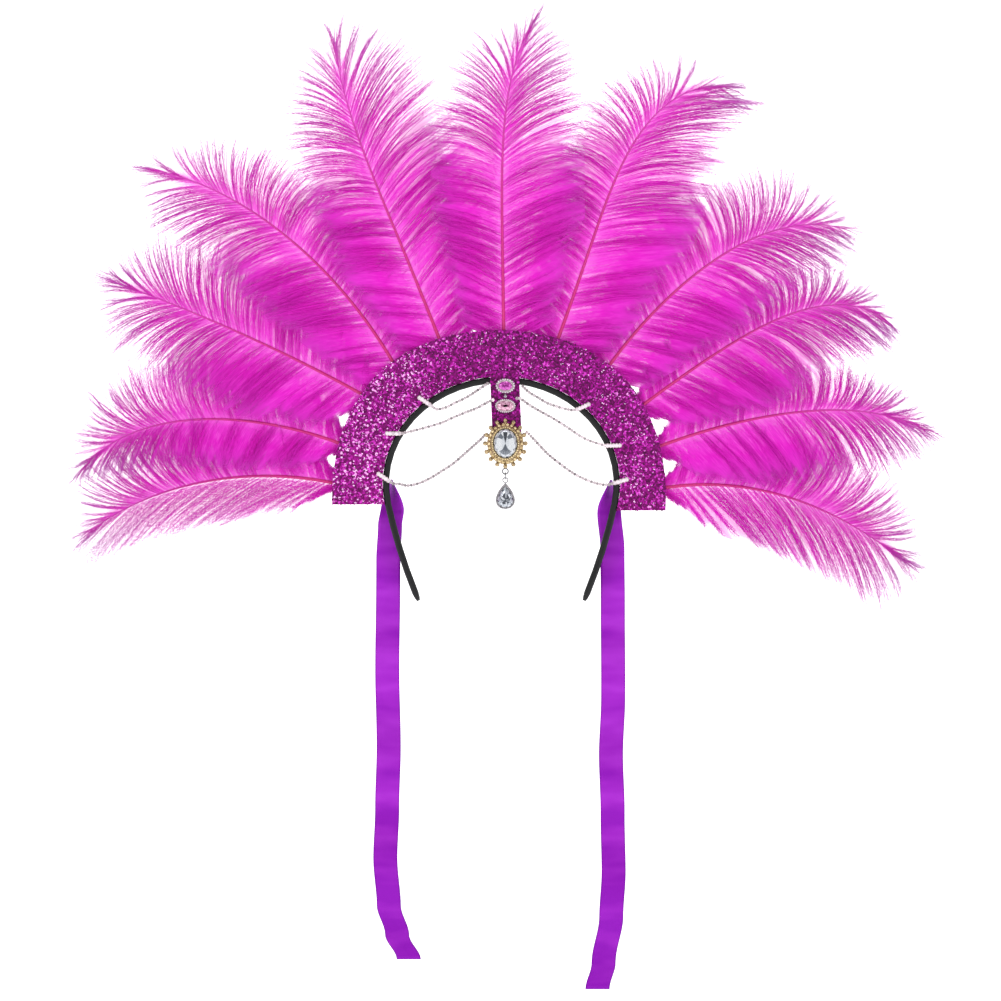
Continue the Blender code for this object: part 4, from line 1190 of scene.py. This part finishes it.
def strand_line(name):
    """Smooth line of a strand from its end on the half ring to its end at the tab."""
    route = STRAND_ROUTES[name]
    inner = STRAND_TAB_Y if name in OVER_TAB else STRAND_INNER_Y
    guides = []
    for k, (x, z) in enumerate(route):
        run = max(k - 1, 0) / (len(route) - 2)
        bow = STRAND_BOW * math.sin(math.pi * min(run, 1.0))
        y = mix(STRAND_OUTER_Y, inner, smoothstep(run)) - bow
        guides.append(Vector((x * MM, y, z * MM)))
    padded = [guides[0] * 2 - guides[1]] + guides + [guides[-1] * 2 - guides[-2]]
    line = []
    for a, b, c, d in zip(padded, padded[1:], padded[2:], padded[3:]):
        for step in range(12):
            t = step / 12
            line.append(0.5 * ((2 * b) + (c - a) * t + (2 * a - 5 * b + 4 * c - d) * t ** 2
                               + (3 * b - a - 3 * c + d) * t ** 3))
    return line + [guides[-1]]


# %% Tree that strings the stones
def facing_front(board, tangent):
    """Rotation with X along the strand and Z towards the front."""
    along = board.node("FunctionNodeAlignRotationToVector", {"axis": 'X'}, {"Vector": tangent})
    return board.node("FunctionNodeAlignRotationToVector", {"axis": 'Z', "pivot_axis": 'X'},
                      {"Rotation": along, "Vector": (0.0, -1.0, 0.0)})


def cone(board, sides, bottom, top, depth, lift, material):
    made = board.node("GeometryNodeMeshCone", {"fill_type": 'NGON'}, {
        "Vertices": sides, "Side Segments": 1, "Radius Top": top, "Radius Bottom": bottom,
        "Depth": depth})
    moved = board.node("GeometryNodeTransform", values={
        "Geometry": made, "Translation": (0.0, 0.0, lift)})
    return paint(board, moved, material)


def make_strand_tree():
    board = new_tree("strand", (("Pitch", 'Float', 1.8 * MM), ("End length", 'Float', 8.5 * MM),
                                ("Stone size", 'Float', 1.12 * MM), ("End size", 'Float', 1.4),
                                ("Wire", 'Float', 0.2 * MM), ("Seed", 'Int', 5)))
    given = board.given
    line = seed_line(board)
    seats = board.node("GeometryNodeResampleCurve", {"mode": 'LENGTH'},
                       {"Curve": line, "Length": given("Pitch")})
    run = board.node("GeometryNodeSplineParameter", out="Length")
    thick = board.maths('LESS_THAN', run, given("End length"))
    size = given("Stone size") * (1.0 + (given("End size") - 1.0) * thick)
    index = board.index()
    # Painted reflections: every other stone is lighter, and the larger stones at the half ring
    # end are lighter still, with some at random.
    seats = keep(board, seats, "tone", board.maths('MODULO', index, 2.0) * 0.34
                 + chance(board, 0.0, 0.2, index, 1) + thick * 0.6)
    stone = join(board, cone(board, 8, 0.75, 0.92, 0.9, -0.45, rose_silver),
                 cone(board, 8, 0.90, 0.56, 0.45, 0.22, strass))
    turn = facing_front(board, board.node("GeometryNodeInputTangent"))
    stones = board.real(board.copies(seats, stone, Rotation=turn, Scale=size))
    stones = keep(board, stones, "painted_facet_light",
                  kept(board, "tone") + chance(board, 0.0, 0.35, index, 2), 'FACE')
    section = board.node("GeometryNodeCurvePrimitiveCircle", {"mode": 'RADIUS'},
                         {"Resolution": 6, "Radius": given("Wire")})
    wire = board.node("GeometryNodeCurveToMesh", values={
        "Curve": line, "Profile Curve": section, "Fill Caps": True})
    return close_tree(board, join(board, stones, paint(board, wire, rose_silver)))


strand_tree = make_strand_tree()
for number, name in enumerate(STRAND_ROUTES):
    strand = grow(name + "_stones", line_mesh(name + "_line", strand_line(name)), strand_tree,
                  {"Seed": 50 + number})
    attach(strand, "headdress")
    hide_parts(name)

# %% [markdown]
# ## Jewel, ovals and drop
# The jewel is a gold dish with sixteen rays, a beaded ring and a clear oval
# stone. Two small ovals sit above it, and a teardrop hangs below it on a jump
# ring. Dishes are lofted through a few outlines, stones are cut from rings of
# facets, and beads and rays are set round an oval line by one tree.

# %% Outlines and lofts
PENDANT_X = 2.4 * MM
ORNAMENT_BACK = -7.1 * MM
Oval = namedtuple("Oval", "half_width half_height z")
UPPER_OVAL = Oval(5.9 * MM, 4.5 * MM, -2.1 * MM)
LOWER_OVAL = Oval(6.2 * MM, 4.2 * MM, -14.1 * MM)
JEWEL = Oval(13.4 * MM, 15.0 * MM, -36.6 * MM)
JEWEL_RISE = 4.2 * MM
DROP_TOP_Z = -60.1 * MM
DROP_BACK = -6.15 * MM
LOOP_Y = -7.75 * MM


def oval_outline(half_width, half_height):
    def point(turn, inset):
        return ((half_width - inset) * math.cos(turn), (half_height - inset) * math.sin(turn))
    return point


def drop_outline(half_width, length):
    def point(turn, inset):
        turn = (turn + math.pi / 2) % (2.0 * math.pi)
        wide = half_width - inset
        x = wide * 1.33 * math.sin(turn) * math.sin(turn / 2) ** 0.95
        return (x, (length / 2 - inset * 1.5) * math.cos(turn) - length / 2 - inset * 0.5)
    return point


def ring_at(outline, z, count, inset, y, start=0.0):
    ring = []
    for k in range(count):
        x, up = outline(2.0 * math.pi * (k + start) / count, inset)
        ring.append(Vector((PENDANT_X + x, y, z + up)))
    return ring


def loft(name, rings, material, closed=False):
    """Smooth body through rings of equal count, capped at both ends."""
    body = bmesh.new()
    rows = [[body.verts.new(p) for p in ring] for ring in rings]
    count = len(rows[0])
    for low, high in zip(rows, rows[1:] + rows[:1] if closed else rows[1:]):
        for k in range(count):
            n = (k + 1) % count
            body.faces.new((low[k], low[n], high[n], high[k]))
    if not closed:
        body.faces.new(rows[0][::-1])
        body.faces.new(rows[-1])
    bmesh.ops.recalc_face_normals(body, faces=body.faces)
    mesh = bpy.data.meshes.new(name)
    body.to_mesh(mesh)
    body.free()
    mesh.shade_smooth()
    mesh.set_sharp_from_angle(angle=math.radians(35.0))
    mesh.materials.append(material)
    return mesh_object(name, mesh)


def wire_loop(name, height, radius, wire, material, count=28, sides=10):
    """A round loop of wire whose hole looks along Y."""
    centre = Vector((PENDANT_X, LOOP_Y, height))
    rings = []
    for k in range(count):
        turn = 2.0 * math.pi * k / count
        out = Vector((math.cos(turn), 0.0, math.sin(turn)))
        rings.append([centre + out * (radius + wire * math.cos(2.0 * math.pi * j / sides))
                      + Vector((0.0, wire * math.sin(2.0 * math.pi * j / sides), 0.0))
                      for j in range(sides)])
    return loft(name, rings, material, closed=True)


# %% Cut stones
def cut_stone(name, outline, z, girdle_y, inset, crown, table, sides, dark, material,
              shade=1.0):
    """Faceted stone: table of wedges, two rows of crown facets and a flat back.

    The function dark gives the painted reflection, a tone of light and shade, of a
    table wedge from its turn; the crown's facets alternate in painted light and shade,
    as reflections do in a cut stone; shade darkens all these painted tones.
    """
    half = abs(outline(0.0, inset)[0])
    table_inset = inset + half * (1.0 - table)
    mid_inset = inset + half * (1.0 - table) * 0.5
    points, faces, tones = [], [], []

    def add_ring(step, y, start=0.0):
        first = len(points)
        points.extend(ring_at(outline, z, sides, step, y, start))
        return [first + k for k in range(sides)]

    back = add_ring(inset + half * 0.2, girdle_y + 1.6 * MM)
    girdle = add_ring(inset, girdle_y)
    middle = add_ring(mid_inset, girdle_y - crown * 0.62, 0.5)
    edge = add_ring(table_inset, girdle_y - crown)
    inner = add_ring(table_inset + half * table * 0.55, girdle_y - crown, 0.5)
    centre = len(points)
    points.append(sum((points[k] for k in inner), Vector()) / sides)
    for k in range(sides):
        n, turn = (k + 1) % sides, 2.0 * math.pi * (k + 0.5) / sides
        # Painted light and shade on the crown facets, in a repeating order.
        painted_crown_light = (0.15, 0.8, 0.45, 0.95, 0.3, 0.7)[k % 6]
        for face, tone in (
                ((back[k], back[n], girdle[n], girdle[k]), 0.5),
                ((girdle[k], girdle[n], middle[k]), painted_crown_light),
                ((girdle[n], middle[n], middle[k]), 0.5 + painted_crown_light * 0.4),
                ((middle[k], middle[n], edge[n]), 1.0 - painted_crown_light * 0.7),
                ((middle[k], edge[n], edge[k]), 0.75),
                ((edge[k], edge[n], inner[k]), dark(turn, 1)),
                ((edge[n], inner[n], inner[k]), dark(turn + math.pi / sides, 2)),
                ((inner[k], inner[n], centre), dark(turn + math.pi / sides, 3))):
            faces.append(face)
            tones.append(tone * shade)
    faces.append(tuple(back[::-1]))
    tones.append(0.6)
    mesh = mesh_of_faces(name, points, faces, material)
    mesh.attributes.new("painted_facet_light", 'FLOAT', 'FACE').data.foreach_set("value", tones)
    turn_outwards(mesh)
    return mesh_object(name, mesh)


def jewel_painted_light(turn, row):
    """Painted reflections on the table: a dark wedge at the top, a grey fan at the bottom, bright
    sides.
    """
    up = math.sin(turn)
    side = abs(math.cos(turn))
    if up > 0.94:
        return 0.04
    if up < -0.78:
        return 0.26 if row > 1 else 0.5
    if 0.4 < side < 0.8 and up > 0.1:
        return 0.3 if row < 3 else 0.75
    return 0.97 if row < 3 else 0.86


def drop_painted_light(turn, row):
    """Painted reflections: dark middle and alternating wedges below, as in a teardrop cut."""
    wedge = (0.06, 0.7, 0.25, 0.95, 0.12)[int(turn / (2.0 * math.pi) * 16) % 5]
    return 0.12 if row == 3 and abs(math.sin(turn)) > 0.7 else wedge


# Painted reflections: table wedges of light and shade in turn.
def ring_painted_light(turn, row):
    return (0.25, 0.8, 0.4)[(int(turn / (2.0 * math.pi) * 12) + row) % 3]


# %% Tree that sets beads, rays or small stones round an oval
def make_round_tree(name, shape, material):
    board = new_tree(name, (("Count", 'Int', 16), ("Size", 'Float', 1.0 * MM),
                            ("Reach", 'Float', 2.1 * MM), ("Middle", 'Vector', (0.0, 0.0, 0.0)),
                            ("Seed", 'Int', 1)))
    given = board.given
    line = seed_line(board)
    seats = board.node("GeometryNodeResampleCurve", {"mode": 'COUNT'},
                       {"Curve": line, "Count": given("Count")})
    out = (board.position() - given("Middle")) * (1.0, 0.0, 1.0)
    turn = board.node("FunctionNodeAlignRotationToVector", {"axis": 'Z'}, {"Vector": out})
    if shape == "stone":
        turn = facing_front(board, out)
        part = join(board, cone(board, 8, 0.75, 1.0, 0.9, -0.45, silver),
                    cone(board, 8, 0.84, 0.46, 0.45, 0.22, material))
        size = given("Size")
        part = board.node("GeometryNodeTransform", values={
            "Geometry": part, "Scale": board.xyz(x=size, y=size, z=size)})
    else:
        ball = board.node("GeometryNodeMeshUVSphere", values={
            "Segments": 12, "Rings": 8, "Radius": given("Size")})
        part = board.node("GeometryNodeSetShadeSmooth", values={"Geometry": ball})
        if shape == "ray":
            ball = board.node("GeometryNodeTransform", values={
                "Geometry": part, "Translation": board.xyz(z=given("Reach"))})
            stem = board.node("GeometryNodeMeshCone", {"fill_type": 'NGON'}, {
                "Vertices": 10, "Side Segments": 1, "Radius Top": given("Size") * 0.8,
                "Radius Bottom": given("Size") * 0.62, "Depth": given("Reach")})
            part = join(board, ball, stem)
        part = paint(board, part, material)
    placed = board.real(board.copies(seats, part, Rotation=turn))
    # Painted reflections: each face gets a random painted tone of light, which the rim stones'
    # material reads.
    return close_tree(board, keep(board, placed, "painted_facet_light",
                                  chance(board, 0.25, 1.0, board.index(), 2), 'FACE'))


def set_round(name, tree, oval, inset, y, count, size):
    """Beads, rays or stones round an oval of the pendant, as a piece of its own."""
    line = ring_at(oval_outline(oval.half_width, oval.half_height), oval.z, 96, inset, y)
    piece = grow(name, line_mesh(name + "_line", line, closed=True), tree, {
        "Count": count, "Size": size, "Middle": (PENDANT_X, y, oval.z)})
    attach(piece, "headdress")
    return piece


bead_tree = make_round_tree("gold beads", "bead", gold)
ray_tree = make_round_tree("gold rays", "ray", shaded_gold)
rim_strass = make_cut_material("rim strass", [
    (0.0, (0.45, 0.28, 0.38)), (0.4, (0.78, 0.58, 0.70)), (1.0, (0.97, 0.88, 0.94))])
rim_tree = make_round_tree("rim stones", "stone", rim_strass)

# %% The jewel
DISH_SIDES = 72


def stands_for(piece, node, body):
    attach(piece, body)
    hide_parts(node)


def make_dish(name, outline, z, steps, material):
    rings = [ring_at(outline, z, DISH_SIDES, inset, y) for inset, y in steps]
    return loft(name, rings, material)


jewel_line = oval_outline(JEWEL.half_width, JEWEL.half_height)
back, front = ORNAMENT_BACK, ORNAMENT_BACK - JEWEL_RISE
# The dish is in the darker gold: painted shade.
dish = make_dish("jewel_dish", jewel_line, JEWEL.z, (
    (2.7 * MM, back), (2.4 * MM, back - 0.5 * MM), (2.6 * MM, back - 1.1 * MM),
    (3.4 * MM, back - 2.2 * MM), (4.3 * MM, front + 0.5 * MM), (4.7 * MM, front),
    (6.1 * MM, front), (6.3 * MM, front + 0.4 * MM), (6.3 * MM, back - 1.8 * MM)), shaded_gold)
stands_for(dish, "jewel_setting", "headdress")
rays = set_round("jewel_rays", ray_tree, JEWEL, 3.4 * MM, back - 1.35 * MM, 16, 1.4 * MM)
for name, inset, depth, count, size in (("jewel_outer_beads", 3.8 * MM, 2.5 * MM, 26, 1.15 * MM),
                                        ("jewel_inner_beads", 5.5 * MM, 4.2 * MM, 40, 0.6 * MM)):
    set_round(name, bead_tree, JEWEL, inset, back - depth, count, size)
jewel_loop = wire_loop("jewel_loop", -53.3 * MM, 1.7 * MM, 0.42 * MM, dark_silver)
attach(jewel_loop, "headdress")
stone = cut_stone("jewel_cut_stone", jewel_line, JEWEL.z, front + 0.1 * MM, 6.4 * MM,
                  1.6 * MM, 0.76, 24, jewel_painted_light, crystal, 0.74)
stands_for(stone, "jewel_stone", "headdress")

# %% The two ovals and the bead between them
magenta_cut = make_cut_material("magenta stone", [
    (0.0, (0.14, 0.004, 0.10)), (0.6, (0.42, 0.010, 0.34)), (1.0, (0.74, 0.14, 0.62))])
for name, oval, height, inset, stone_material, rim_size, rim_count, slot in (
        ("upper_oval", UPPER_OVAL, 2.0 * MM, 1.5 * MM, magenta_cut, 0.72 * MM, 20,
         "magenta_stone"),
        ("lower_oval", LOWER_OVAL, 2.1 * MM, 1.0 * MM, pale_pink, 0.55 * MM, 26,
         "pink_stone")):
    dress(name + "_setting", rose_silver)
    outline = oval_outline(oval.half_width, oval.half_height)
    cut = cut_stone(name + "_cut_stone", outline, oval.z, back - height, inset + 0.3 * MM,
                    0.8 * MM, 0.6, 16, ring_painted_light, stone_material)
    stands_for(cut, name + "_stone", "headdress")
    rim = set_round(name + "_rim_stones", rim_tree, oval, rim_size * 0.95, back - height * 0.85,
                    rim_count, rim_size)
dress("join_bead", silver)
dress("jump_ring", dark_silver)

# %% The drop
drop_line = drop_outline(5.7 * MM, 16.0 * MM)
cup = make_dish("drop_cup", drop_line, DROP_TOP_Z, (
    (0.35 * MM, DROP_BACK), (0.0, DROP_BACK - 0.7 * MM), (0.1 * MM, DROP_BACK - 1.5 * MM),
    (0.35 * MM, DROP_BACK - 1.8 * MM), (0.8 * MM, DROP_BACK - 1.8 * MM),
    (0.95 * MM, DROP_BACK - 1.5 * MM), (0.95 * MM, DROP_BACK - 0.8 * MM)), silver)
stands_for(cup, "drop_setting", "drop")
drop_loop = wire_loop("drop_loop", -58.6 * MM, 1.5 * MM, 0.4 * MM, silver)
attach(drop_loop, "drop")
drop_cut = cut_stone("drop_cut_stone", drop_line, DROP_TOP_Z, DROP_BACK - 1.8 * MM, 1.2 * MM,
                     1.5 * MM, 0.6, 20, drop_painted_light, crystal, 0.66)
stands_for(drop_cut, "drop_stone", "drop")


total = 0
for obj in scene.objects:
    if obj.type == 'MESH' and "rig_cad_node" not in obj:
        obj.data.calc_loop_triangles()
        total += len(obj.data.loop_triangles)
print("triangles added here:", total)
